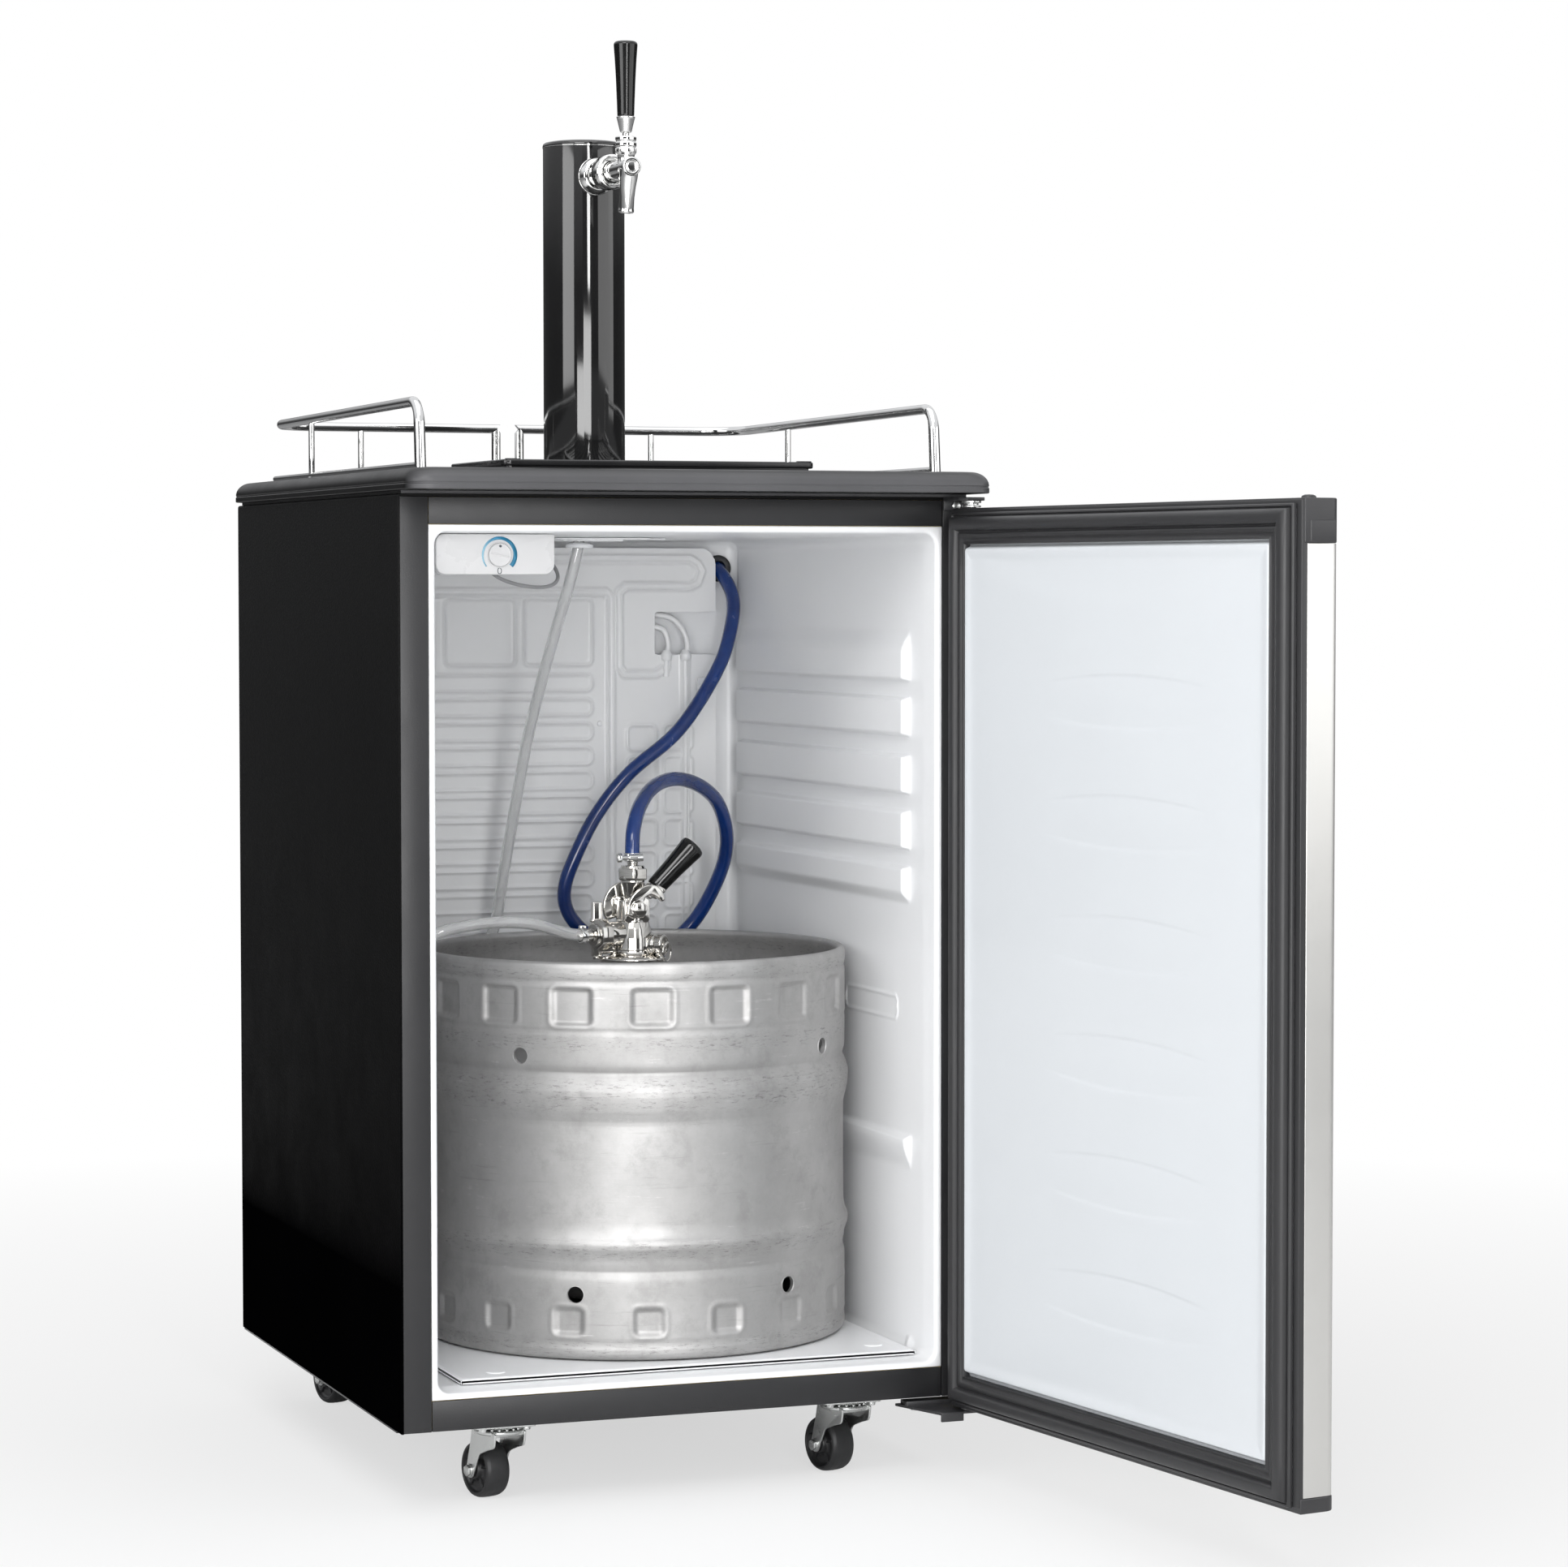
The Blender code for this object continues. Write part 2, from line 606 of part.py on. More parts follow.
# ---------------------------------------------------------------- draft tower
def tower():
    centre = (0, TOWER_Y, 0)
    inner = TOWER_R - 2
    profile = [(inner, FITTING_Z), (TOWER_R, FITTING_Z), (TOWER_R, TOWER_TOP), (inner, TOWER_TOP)]
    column = finish("tower_column", turned(profile, centre, steps=36, ring=True), GLOSS_BLACK)
    cut(column, rod_y(0, TAP_Z, TOWER_Y - 60, TOWER_Y - 10, 12.5, 16))
    profile = [
        (0, 1132), (35.6, 1132), (35.6, 1139.4), (38.6, 1139.4), (38.6, 1141.4),
        (36.5, 1143.8), (0, 1144.6),
    ]
    finish("tower_cap", turned(profile, centre, steps=36), GLOSS_BLACK)
    profile = [(38.6, FITTING_Z), (49.5, FITTING_Z), (49.5, 834.4), (46, 837.4), (38.6, 838)]
    finish("tower_flange", turned(profile, centre, steps=36, ring=True), GLOSS_BLACK)


def faucet_shank():
    profile = [
        (4, 0), (8, 0), (8, 10), (11, 10), (11, 29.6), (17, 29.6), (17, 36), (14.5, 39.8),
        (11, 39.8), (11, 74.4), (4, 74.4),
    ]
    shank = finish("faucet_shank", turned(profile, (0, 294, TAP_Z), (0, -1, 0), ring=True), CHROME)
    add(shank, rod((0, 289, TAP_Z - 5.2), (0, 291.5, 1091), 4.4, 10))
    profile = [
        (11.5, 0), (16.2, 0), (16.2, 16), (14.6, 18), (9.9, 18), (9.9, 15), (11.5, 15),
    ]
    nut = turned(profile, (0, 232, TAP_Z), (0, -1, 0), 20, ring=True)
    finish("coupling_nut", nut, CHROME)


def faucet_body():
    barrel = [
        (0, 0), (6.0, 0), (8.6, 3), (8.6, 50), (9.5, 53), (9.5, 57.2), (10.9, 57.4),
        (10.9, 59.2), (0, 59.2),
    ]
    collar = [
        (0, TAP_Z + 1), (7.9, TAP_Z + 1), (7.9, 1122), (9.6, 1124), (9.6, 1132),
        (8.5, 1133.4), (9.5, 1134.8), (9.5, 1137.8), (0, 1137.8),
    ]
    socket = [(0, TAP_Z + 2.3), (6.4, TAP_Z + 2.3), (6.4, 1134), (9.0, 1138.6), (0, 1138.6)]
    body = finish("faucet_body", turned(barrel, (0, 160, TAP_Z), (0, 1, 0), 20), CHROME)
    add(
        body,
        turned(collar, (0, TAP_Y, 0), steps=20),
        rod((0, TAP_Y - 9, TAP_Z - 2), (0, TAP_Y + 1, 1070), 7.2, 16, end_radius=6.8),
    )
    cut(
        body,
        rod_y(0, TAP_Z, 166, 245, 6.1, 18),
        turned(socket, (0, TAP_Y, 0), steps=14),
        block(-3.7, 3.7, TAP_Y + 1.3, TAP_Y + 11, TAP_Z + 1.7, 1117.6),
        block(-2.7, 2.7, TAP_Y + 1.7, TAP_Y + 7.2, 1116.8, 1121.2),
        rod((0, TAP_Y - 4.9, 1091), (0, TAP_Y + 2.6, 1062), 4.7, 11),  # spout bore
    )


def faucet_controls():
    """Lever and handle, which turn about one ball, and the plunger they move."""
    ball = (0, TAP_Y, LEVER_Z)
    profile = [
        (0, -15.6), (1.8, -15.6), (2.4, -5), (5.2, -2), (5.2, 2), (3.2, 4.2), (3.2, 11.6),
        (5.6, 12.2), (8.2, 26.2), (0, 26.2),
    ]
    lever = finish("faucet_lever", turned(profile, ball, steps=20), CHROME)
    profile = [
        (0, 26.5), (7.7, 26.5), (7.9, 32), (9.3, 61), (10.9, 90), (10.4, 92.4), (8, 94),
        (0, 94.4),
    ]
    handle = finish("tap_handle", turned(profile, ball, steps=20), BLACK_PLASTIC)
    for moving in (lever, handle):
        origin_to(moving, at(*ball))
    profile = [
        (0, -9), (5.2, -9), (5.2, -4.4), (2.0, -4.4), (2.0, 4.4), (5.2, 4.4), (5.2, 7.4),
        (2.6, 9), (2.6, 26), (5.4, 28), (5.4, 32), (0, 32),
    ]
    centre = (0, TAP_Y, TAP_Z)
    plunger = finish("faucet_plunger", turned(profile, centre, (0, 1, 0), 14), STEEL)
    origin_to(plunger, at(*centre))


# ---------------------------------------------------------------- worktop fittings
def drip_tray():
    base = FITTING_Z
    origin = at(0, 165, base)
    rim = prism(rounded(-147, 147, 80, 250, 8), "z", base + 4.4, base + 10.4)
    tray = finish("drip_tray", rim, BLACK_PLASTIC)
    add(tray, prism(rounded(-143.5, 143.5, 83.5, 246.5, 6), "z", base, base + 5))
    cut(
        tray,
        block(-139.4, 139.4, 87.6, 242.4, base + 5.6, base + 14),
        block(-134, 134, 93, 237, base + 1.8, base + 8),
    )
    origin_to(tray, origin)

    slot_count, slot_pitch, slot_width, slot_x = 14, 18.5, 9, -128
    sheet = block(-138.6, 138.6, 88.4, 241.6, base + 6.0, base + 8.4)
    grate = finish("drip_grate", sheet, BLACK_PLASTIC, smooth=False)
    lefts = [slot_x + slot_pitch * i for i in range(slot_count)]
    cut(grate, *[block(x, x + slot_width, 98, 232, base, base + 14) for x in lefts])
    origin_to(grate, origin)


def guard_rails():
    """Two mirrored rails, each along one side and half of the rear edge."""
    front, rear, top = 27.0, 551.0, 886.0
    for name, side in (("guard_rail_left", -1), ("guard_rail_right", 1)):
        outer_x, inner_x = side * 239.0, side * 12
        upper = [
            (outer_x, front, FITTING_Z + 0.5), (outer_x, front + 6, top), (outer_x, rear, top),
            (inner_x, rear, top), (inner_x, rear, FITTING_Z),
        ]
        low_z = FITTING_Z + 3
        lower = [(outer_x, front, low_z), (outer_x, rear, low_z), (inner_x, rear, low_z)]
        rail = finish(name, swept(bent_path(upper, 14), 4.4), CHROME)
        add(
            rail,
            rod_z(outer_x, 396, FITTING_Z, top, 2.8, 8),
            rod_z(side * 150, rear, FITTING_Z, top, 2.8, 8),
            swept(bent_path(lower, 14), 2.9),
        )


# ---------------------------------------------------------------- hinges
def hinge_brackets():
    outline_xy = [(238, -0.4), (240, -34), (246, -40), (262, -40), (264, -34), (264, -0.4)]
    plate = prism(outline_xy, "z", 805.4, 808.8)
    top = finish("hinge_bracket_top", plate, BLACK_PAINT, smooth=False)
    add(
        top,
        block(238, 264, -3.2, -0.4, 797, 808),
        rod_z(HINGE_X, HINGE_Y, 799.4, 806, 8.5, 20),
        rod_z(HINGE_X, HINGE_Y, 789, 803, 3.6, 14),
    )
    plate = prism([(200, 19), (221, -38), (264, -38), (264, 19)], "z", -9.6, -6.6)
    bottom = finish("hinge_bracket_bottom", plate, BLACK_PAINT, smooth=False)
    add(
        bottom,
        block(205, 264, 3, 18, -8, -3.1),
        block(221, 243.5, -40, -37.4, -15.5, -6.6),
        rod_z(HINGE_X, HINGE_Y, -8, -5.1, 8.5, 20),
        rod_z(HINGE_X, HINGE_Y, -8, 4, 3.6, 14),
    )


# ---------------------------------------------------------------- door, modelled shut
def door_slab(grow, y1, corner, z0, z1):
    """Door outline with rounded front corners, between two heights."""
    side = DOOR_X + grow
    outline = rounded(-side, side, DOOR_Y0 - grow, y1, (0.5, 0.5, corner, corner), 4)
    return prism(outline, "z", z0, z1)


def door_skin():
    skin = finish("door_skin", door_slab(0, DOOR_Y1 - 1.0, 9, 8.0, 762.9), SILVER)
    cut(skin, door_slab(-1.6, 20, 7.6, 0, 790))
    return skin


def door_cap(name, z0, z1, pin_z0, pin_z1):
    cap = finish(name, door_slab(0.6, DOOR_Y1, 9, z0, z1), GREY_PAINT)
    cut(cap, rod_z(HINGE_X, HINGE_Y, pin_z0, pin_z1, 4.2, 14))
    return cap


def door_foam():
    foam_x = DOOR_X - 2.2
    shape = block(-foam_x, foam_x, DOOR_Y0 + 9.5, -15.4, 8.2, 762.7)
    return finish("door_foam", shape, FOAM, smooth=False)


def door_liner():
    liner = finish("door_liner", block(-257.5, 257.5, -13.6, -11.8, 2, 793), WHITE_ABS)
    raised = block(-231, 231, -13, -4.0, 30.6, 764.7)
    # Only the four edges that run front to rear.
    round_edges(raised, 6, 2,
                lambda end, other: abs(end.x - other.x) < 1e-6 and abs(end.z - other.z) < 1e-6)
    add(liner, raised)
    cut(liner, block(-228, 228, -20, -6.6, 33.6, 761.7))
    return liner


def frame_shape(outer, inner, y0, y1):
    """A rectangular frame. outer and inner are (half width, z0, z1)."""
    half, z0, z1 = outer
    frame = finish("frame_helper", block(-half, half, y0, y1, z0, z1), RUBBER, smooth=False)
    half, z0, z1 = inner
    cut(frame, block(-half, half, y0 - 5, y1 + 5, z0, z1))
    shape = bmesh.new()
    shape.from_mesh(frame.data)
    bpy.data.objects.remove(frame, do_unlink=True)
    return shape


def door_gasket():
    base = frame_shape((257, 0, 794.5), (231.8, 30, 765.4), -11.4, -6)
    gasket = finish("door_gasket", base, RUBBER, smooth=False)
    add(gasket, frame_shape((251, 6, 788.5), (238, 24.5, 772), -6.6, -0.4))
    return gasket


def door():
    pieces = (
        door_skin(),
        door_cap("door_cap_top", CAP_TOP_Z, DOOR_Z1, 786, 805),
        door_cap("door_cap_bottom", DOOR_Z0, CAP_BOTTOM_Z, -8, 5.6),
        door_foam(),
        door_liner(),
        door_gasket(),
    )
    for piece in pieces:
        origin_to(piece, at(HINGE_X, HINGE_Y, 0))
        piece.rotation_euler.z = DOOR_OPEN


# ---------------------------------------------------------------- casters
CASTERS = (  # (label, x, y) of each swivel axis
    ("front_left", -163.0, 49.0),
    ("front_right", 163.0, 49.0),
    ("rear_left", -176.0, 527.0),
    ("rear_right", 176.0, 527.0),
)
CASTER_YAW = math.radians(14.0)
CASTER_TRAIL = 24.0
WHEEL_R = 25.0
# (radius, distance along the axle)
WHEEL_PROFILE = [
    (3.9, -12.5), (9, -12.5), (9.4, -11.2), (20, -11.2), (23.4, -9.6), (WHEEL_R, -5),
    (WHEEL_R, 5), (23.4, 9.6), (20, 11.2), (9.4, 11.2), (9, 12.5), (3.9, 12.5),
]


def caster(label, x, y):
    plate_shape = block(x - 28, x + 28, y - 23, y + 23, -6.0, -3.1)
    plate = finish(f"caster_plate_{label}", plate_shape, STEEL, smooth=False)
    add(plate, rod_z(x, y, -14.4, -5, 6, 14))

    axle_y, axle_z = y + CASTER_TRAIL, -FLOOR_GAP + WHEEL_R
    cheek = [
        (y - 20, -9.2), (y + 20, -9.2), (y + 21, -20), (axle_y + 7, axle_z - 1),
        (axle_y, axle_z - 7.4), (axle_y - 7, axle_z - 2), (y - 16, -24),
    ]
    fork = finish(f"caster_fork_{label}", prism(cheek, "x", x - 16.2, x - 14.0), STEEL)
    add(
        fork,
        prism(cheek, "x", x + 14.0, x + 16.2),
        rod_z(x, y, -15.6, -9.2, 22, 24),
        rod((x - 19.5, axle_y, axle_z), (x + 19.5, axle_y, axle_z), 3.4, 10),
    )
    cut(fork, rod_z(x, y, -18, -5, 6.6, 16))
    wheel_shape = turned(WHEEL_PROFILE, (x, axle_y, axle_z), (1, 0, 0), ring=True)
    wheel = finish(f"caster_wheel_{label}", wheel_shape, RUBBER)

    # Swivel fork and wheel about the caster's vertical axis.
    swivel = at(x, y, 0)
    yaw = Matrix.Rotation(CASTER_YAW, 4, "Z")
    turn = Matrix.Translation(swivel) @ yaw @ Matrix.Translation(-swivel)
    for piece in (fork, wheel):
        piece.data.transform(turn)
    origin_to(fork, swivel)
    hub = swivel + yaw.to_3x3() @ Vector((0, CASTER_TRAIL * MM, 0))
    hub.z = at(0, 0, axle_z).z
    origin_to(wheel, hub)


def casters():
    for label, x, y in CASTERS:
        caster(label, x, y)


for build in (
    cabinet_shell, front_rails, inner_liner, insulation_foam, outer_panels, worktop_cover,
    evaporator_plate, thermostat, keg_floor_plate, compressor, condenser_coil, power_cord,
    keg, coupler_body, coupler_handle, coupler_probe, hoses,
    tower, faucet_shank, faucet_body, faucet_controls, drip_tray, guard_rails,
    hinge_brackets, door, casters,
):
    build()

bpy.context.view_layer.update()
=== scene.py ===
"""A kegerator: cabinet with its door swung open, keg, coupler, hoses, beer tower, tray and rails.

Lengths are millimetres in cabinet coordinates: x right of the centre plane, y back from the
front flange, z up from the cabinet's bottom edge. metres() and put() turn them into the frame's
metres. The door is modelled shut, and publish() swings it open.
"""

import json
import math
import random

import bmesh
import bpy
import numpy as np
from mathutils import Matrix, Vector

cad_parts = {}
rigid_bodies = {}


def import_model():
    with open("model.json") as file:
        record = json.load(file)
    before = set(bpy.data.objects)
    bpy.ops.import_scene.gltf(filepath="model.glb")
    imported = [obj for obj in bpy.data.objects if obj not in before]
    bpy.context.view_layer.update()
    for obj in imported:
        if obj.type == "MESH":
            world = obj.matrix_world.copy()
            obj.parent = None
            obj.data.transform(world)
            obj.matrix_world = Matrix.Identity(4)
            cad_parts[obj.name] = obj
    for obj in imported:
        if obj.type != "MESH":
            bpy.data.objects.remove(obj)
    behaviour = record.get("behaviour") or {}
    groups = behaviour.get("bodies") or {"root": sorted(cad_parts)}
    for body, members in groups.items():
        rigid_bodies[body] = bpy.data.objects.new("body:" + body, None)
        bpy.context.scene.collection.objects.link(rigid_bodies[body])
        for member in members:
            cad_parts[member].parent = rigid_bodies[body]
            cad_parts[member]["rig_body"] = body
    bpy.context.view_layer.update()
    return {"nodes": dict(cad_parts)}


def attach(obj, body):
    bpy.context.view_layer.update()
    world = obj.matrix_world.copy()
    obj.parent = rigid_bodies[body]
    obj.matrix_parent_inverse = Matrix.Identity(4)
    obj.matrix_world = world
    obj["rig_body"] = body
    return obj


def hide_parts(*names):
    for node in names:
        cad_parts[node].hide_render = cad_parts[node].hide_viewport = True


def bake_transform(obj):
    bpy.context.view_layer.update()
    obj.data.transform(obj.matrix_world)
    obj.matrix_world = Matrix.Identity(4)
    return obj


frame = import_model()
random.seed(7)

# The frame's origin in cabinet coordinates, and the height of the cabinet above the floor.
CENTRE_X, CENTRE_Y, FLOOR_GAP = 41.99, 23.245, 74.5
HALF_WIDTH, HEIGHT, DEPTH = 265, 809, 586
HINGE_X, HINGE_Y = 254.3, -27.6
DOOR_OPEN = math.radians(98.7)
KEG_X, KEG_Y = 26.0, 241.0
KEG_AXIS = (KEG_X, KEG_Y, 0)
TOWER_Y = 303.0
TOWER_AXIS = (0, TOWER_Y, 0)
TAP_Y, TAP_Z = 178.0, 1110.0
TAP_AXIS = (0, TAP_Y, 0)
UP, BACK, FORWARD = (0, 0, 1), (0, 1, 0), (0, -1, 0)


def put(points):
    places = np.asarray(points, float).reshape(-1, 3)
    return (places + np.array([-CENTRE_X, -CENTRE_Y, FLOOR_GAP])) * 0.001


def metres(x, y, z):
    return Vector(((x - CENTRE_X) * 0.001, (y - CENTRE_Y) * 0.001, (z + FLOOR_GAP) * 0.001))


# ------------------------------------------------------------------ shader helpers
def feed(node, inputs):
    """Sets each input to a value, or links it to another node's output."""
    for key, value in inputs.items():
        if isinstance(value, bpy.types.NodeSocket):
            node.id_data.links.new(value, node.inputs[key])
        else:
            node.inputs[key].default_value = value


def add(tree, kind, inputs=None, **settings):
    node = tree.nodes.new("ShaderNode" + kind)
    for key, value in settings.items():
        setattr(node, key, value)
    feed(node, inputs or {})
    return node


def rgba(value):
    """Pads a grey or a colour triple to four values, and leaves a socket as it is."""
    if isinstance(value, bpy.types.NodeSocket):
        return value
    return (*(value if isinstance(value, tuple) else (value,) * 3), 1)


def new_material(name):
    material = bpy.data.materials.new(name)
    material.use_nodes = True
    return material, material.node_tree, material.node_tree.nodes["Principled BSDF"]


def coords(tree, scale=(1, 1, 1)):
    where = add(tree, "TexCoord").outputs["Object"]
    return add(tree, "Mapping", {"Vector": where, "Scale": scale}).outputs["Vector"]


def component(tree, vector, axis):
    return add(tree, "SeparateXYZ", {0: vector}).outputs["xyz".index(axis)]


def noise(tree, vector, scale, detail=4.0, rough=0.55):
    inputs = {"Vector": vector, "Scale": scale, "Detail": detail, "Roughness": rough}
    return add(tree, "TexNoise", inputs).outputs["Fac"]


def ramp(tree, fac, stops):
    """A colour ramp; each stop is a position and a grey or a colour."""
    node = add(tree, "ValToRGB", {"Fac": fac})
    while len(node.color_ramp.elements) < len(stops):
        node.color_ramp.elements.new(0.5)
    for element, (position, value) in zip(node.color_ramp.elements, stops):
        element.position = position
        element.color = rgba(value)
    return node.outputs["Color"]


def mix(tree, fac, first, second, blend="MIX"):
    inputs = {0: fac, 6: rgba(first), 7: rgba(second)}
    return add(tree, "Mix", inputs, data_type="RGBA", blend_type=blend).outputs[2]


def calculate(tree, operation, *values):
    return add(tree, "Math", dict(enumerate(values)), operation=operation).outputs[0]


def map_range(tree, value, from_min=0.0, from_max=1.0, to_min=0.0, to_max=1.0):
    inputs = {
        "Value": value, "From Min": from_min, "From Max": from_max,
        "To Min": to_min, "To Max": to_max,
    }
    return add(tree, "MapRange", inputs).outputs[0]


def bump(tree, shader, height, strength, distance=0.001):
    inputs = {"Height": height, "Strength": strength, "Distance": distance}
    feed(shader, {"Normal": add(tree, "Bump", inputs).outputs["Normal"]})


# ------------------------------------------------------------------ materials
def painted(name, colour, roughness, grain, strength, wear, coat, spread):
    """Paint, plastic or rubber with cloudy tone and gloss. Without a colour the base is left."""
    material, tree, shader = new_material(name)
    where = coords(tree)
    if colour:
        low, high = (tuple(c * share for c in colour) for share in (1 - wear, 1 + wear))
        broad = noise(tree, where, scale=6, detail=5)
        feed(shader, {"Base Color": ramp(tree, broad, ((0.3, low), (0.7, high)))})
    cloud = noise(tree, where, scale=18, detail=6)
    gloss = ramp(tree, cloud, ((0.3, roughness - spread), (0.7, roughness + spread)))
    feed(shader, {"Roughness": gloss, "Coat Weight": coat, "Coat Roughness": 0.06})
    bump(tree, shader, noise(tree, where, scale=grain, detail=2), strength)
    return material


def metal(name, colour, roughness, spread, stretch, grain, strength, smudges):
    """Smudged metal. smudges darkens the low tone; stretch draws the grain out upright."""
    material, tree, shader = new_material(name)
    fine = noise(tree, coords(tree, (stretch, stretch, 1)), scale=grain)
    smudge = noise(tree, coords(tree), scale=22, detail=6, rough=0.65)
    low = tuple(c * smudges for c in colour)
    both = mix(tree, 0.5, fine, smudge)
    feed(shader, {
        "Base Color": ramp(tree, smudge, ((0.25, low), (0.7, colour))),
        "Metallic": 1,
        "Roughness": ramp(tree, both, ((0.3, roughness - spread), (0.7, roughness + spread))),
    })
    bump(tree, shader, fine, strength, distance=0.0004)
    return material


# Name, usual slot, colour, roughness, grain scale, grain strength, wear, coat, roughness spread.
PAINTS = (
    ("side_paint", "black_paint", (0.0007, 0.0007, 0.0008), 0.55, 420, 0.35, 0.2, 0, 0.06),
    ("stile_paint", "black_paint", (0.015, 0.015, 0.0163), 0.42, 700, 0.1, 0.12, 0, 0.06),
    ("cover_plastic", "charcoal_trim", (0.038, 0.038, 0.04), 0.34, 500, 0.12, 0.15, 0, 0.06),
    ("liner_white", "white_liner", (0.86, 0.868, 0.88), 0.34, 60, 0.01, 0.01, 0.06, 0.06),
    ("plate_white", "roll_bond_plate", (0.8, 0.805, 0.81), 0.34, 200, 0.05, 0.03, 0.15, 0.06),
    ("door_white", "white_liner", (0.64, 0.665, 0.69), 0.36, 60, 0.01, 0.01, 0.06, 0.06),
    ("housing_white", "white_liner", (0.56, 0.56, 0.565), 0.28, 300, 0.03, 0.01, 0.15, 0.06),
    ("gasket", "gasket_rubber", (0.024, 0.024, 0.0255), 0.42, 500, 0.05, 0.12, 0, 0.06),
    ("gloss_black", "gloss_black", (0.0105, 0.0105, 0.0108), 0.07, 80, 0.01, 0.2, 0.6, 0.03),
    ("handle_black", "black_plastic", (0.006, 0.006, 0.006), 0.13, 120, 0, 0.2, 0, 0.06),
    ("tray_black", "black_plastic", (0.012, 0.012, 0.013), 0.22, 200, 0.05, 0.2, 0.2, 0.06),
    ("cap_black", "black_paint", (0.03, 0.03, 0.032), 0.38, 600, 0.12, 0.15, 0, 0.06),
    ("wheel_black", "gasket_rubber", (0.016, 0.016, 0.017), 0.42, 260, 0.12, 0.25, 0, 0.06),
    ("cord_black", "black_plastic", (0.012, 0.012, 0.012), 0.5, 300, 0.15, 0.12, 0, 0.06),
    ("compressor_black", "black_paint", (0.01, 0.01, 0.011), 0.3, 160, 0.2, 0.2, 0.3, 0.06),
    ("foam_tan", None, (0.62, 0.5, 0.24), 0.9, 120, 0.8, 0.15, 0, 0.06),
    ("dial_blue", "white_liner", None, 0.35, 200, 0.02, 0, 0, 0.06),
    ("capillary_grey", "roll_bond_plate", (0.3, 0.3, 0.305), 0.4, 200, 0.02, 0.05, 0, 0.06),
    ("mark_grey", "white_liner", (0.06, 0.07, 0.08), 0.5, 200, 0.02, 0.03, 0, 0.06),
)
# Name, usual slot, colour, roughness, spread, stretch, grain scale, grain strength, smudges.
METALS = (
    ("chrome", "chrome", (0.82, 0.82, 0.81), 0.05, 0.025, 1, 300, 0.01, 0.86),
    ("rail_chrome", "chrome", (0.74, 0.74, 0.735), 0.1, 0.04, 1, 300, 0.01, 0.86),
    ("nickel", "chrome", (0.72, 0.7, 0.665), 0.09, 0.04, 1, 300, 0.015, 0.86),
    ("zinc", "zinc_steel", (0.72, 0.73, 0.72), 0.3, 0.1, 1, 120, 0.2, 0.86),
    ("galvanised", "zinc_steel", (0.55, 0.56, 0.57), 0.42, 0.1, 1, 60, 0.1, 0.86),
    ("silver_skin", "silver_skin", (0.68, 0.675, 0.655), 0.44, 0.015, 30, 60, 0.05, 0.97),
    ("copper", "zinc_steel", (0.72, 0.38, 0.24), 0.3, 0.1, 1, 300, 0.05, 0.86),
)
MATERIALS, SLOTS = {}, {}
for maker, looks in ((painted, PAINTS), (metal, METALS)):
    for title, usual_slot, *look in looks:
        MATERIALS[title] = maker(title, *look)
        SLOTS[title] = usual_slot


def parts_of(name):
    tree = MATERIALS[name].node_tree
    return tree, tree.nodes["Principled BSDF"]


def sheen_by_height():
    """The satin side sheet shines more towards its top edge."""
    tree, shader = parts_of("side_paint")
    height = component(tree, add(tree, "TexCoord").outputs["Object"], "z")
    sheen = map_range(tree, height, from_min=0.2, from_max=0.88, to_max=0.15)
    feed(shader, {"Specular IOR Level": sheen})


def paint_light_by_facing(name, side, front):
    """Painted light and shade: scales the base colour by side, going to front on faces that look
    forward, so forward faces look lit and the rest look shaded.
    """
    tree, shader = parts_of(name)
    facing = component(tree, add(tree, "NewGeometry").outputs["Normal"], "y")
    share = map_range(tree, facing, from_min=-0.25, from_max=-0.85)
    under = shader.inputs["Base Color"].links[0].from_socket
    tone = mix(tree, share, side, front)
    feed(shader, {"Base Color": mix(tree, 1.0, under, tone, "MULTIPLY")})


def fading_scale():
    """The printed scale goes from pale to deep blue across the dial."""
    tree, shader = parts_of("dial_blue")
    across = component(tree, add(tree, "TexCoord").outputs["Object"], "x")
    left, right = ((x - CENTRE_X) * 0.001 for x in (-183, -156))
    share = map_range(tree, across, from_min=left, from_max=right)
    stops = ((0.0, (0.26, 0.47, 0.58)), (0.45, (0.03, 0.23, 0.4)), (1.0, (0.012, 0.16, 0.28)))
    feed(shader, {"Base Color": ramp(tree, share, stops)})


def hose_material(name, colour, dark, roughness, extra):
    material, tree, shader = new_material(name)
    where = coords(tree)
    cloudy = noise(tree, where, scale=30)
    streaks = noise(tree, where, scale=60)
    feed(shader, {
        "Base Color": ramp(tree, cloudy, ((0.3, dark), (0.75, colour))),
        "Roughness": ramp(tree, streaks, ((0.3, roughness * 0.7), (0.7, roughness * 1.4))),
        "Coat Weight": 0.5,
        "Coat Roughness": 0.08,
        **extra,
    })
    bump(tree, shader, noise(tree, where, scale=120, detail=3), strength=0.04)
    MATERIALS[name], SLOTS[name] = material, name


def wear_marks(tree, under):
    """Dark scuffs in rings round the keg, laid over the base metal."""
    height = component(tree, add(tree, "TexCoord").outputs["Object"], "z")
    band = None
    # Height of each ring and its half width, in metres.
    rings = (
        (0.3485, 0.016), (0.2135, 0.012), (0.398, 0.01),
        (0.362, 0.007), (0.458, 0.008), (0.125, 0.01),
    )
    for middle, width in rings:
        away = calculate(tree, "ABSOLUTE", calculate(tree, "SUBTRACT", height, middle))
        near = map_range(tree, away, from_min=width, from_max=width * 0.3)
        band = near if band is None else calculate(tree, "MAXIMUM", band, near)
    flecks = noise(tree, coords(tree, (40, 40, 190)), scale=2.6, detail=9, rough=0.8)
    share = calculate(tree, "MULTIPLY", band, ramp(tree, flecks, ((0.54, 0.0), (0.6, 0.55))))
    return mix(tree, share, under, (0.16, 0.155, 0.15))


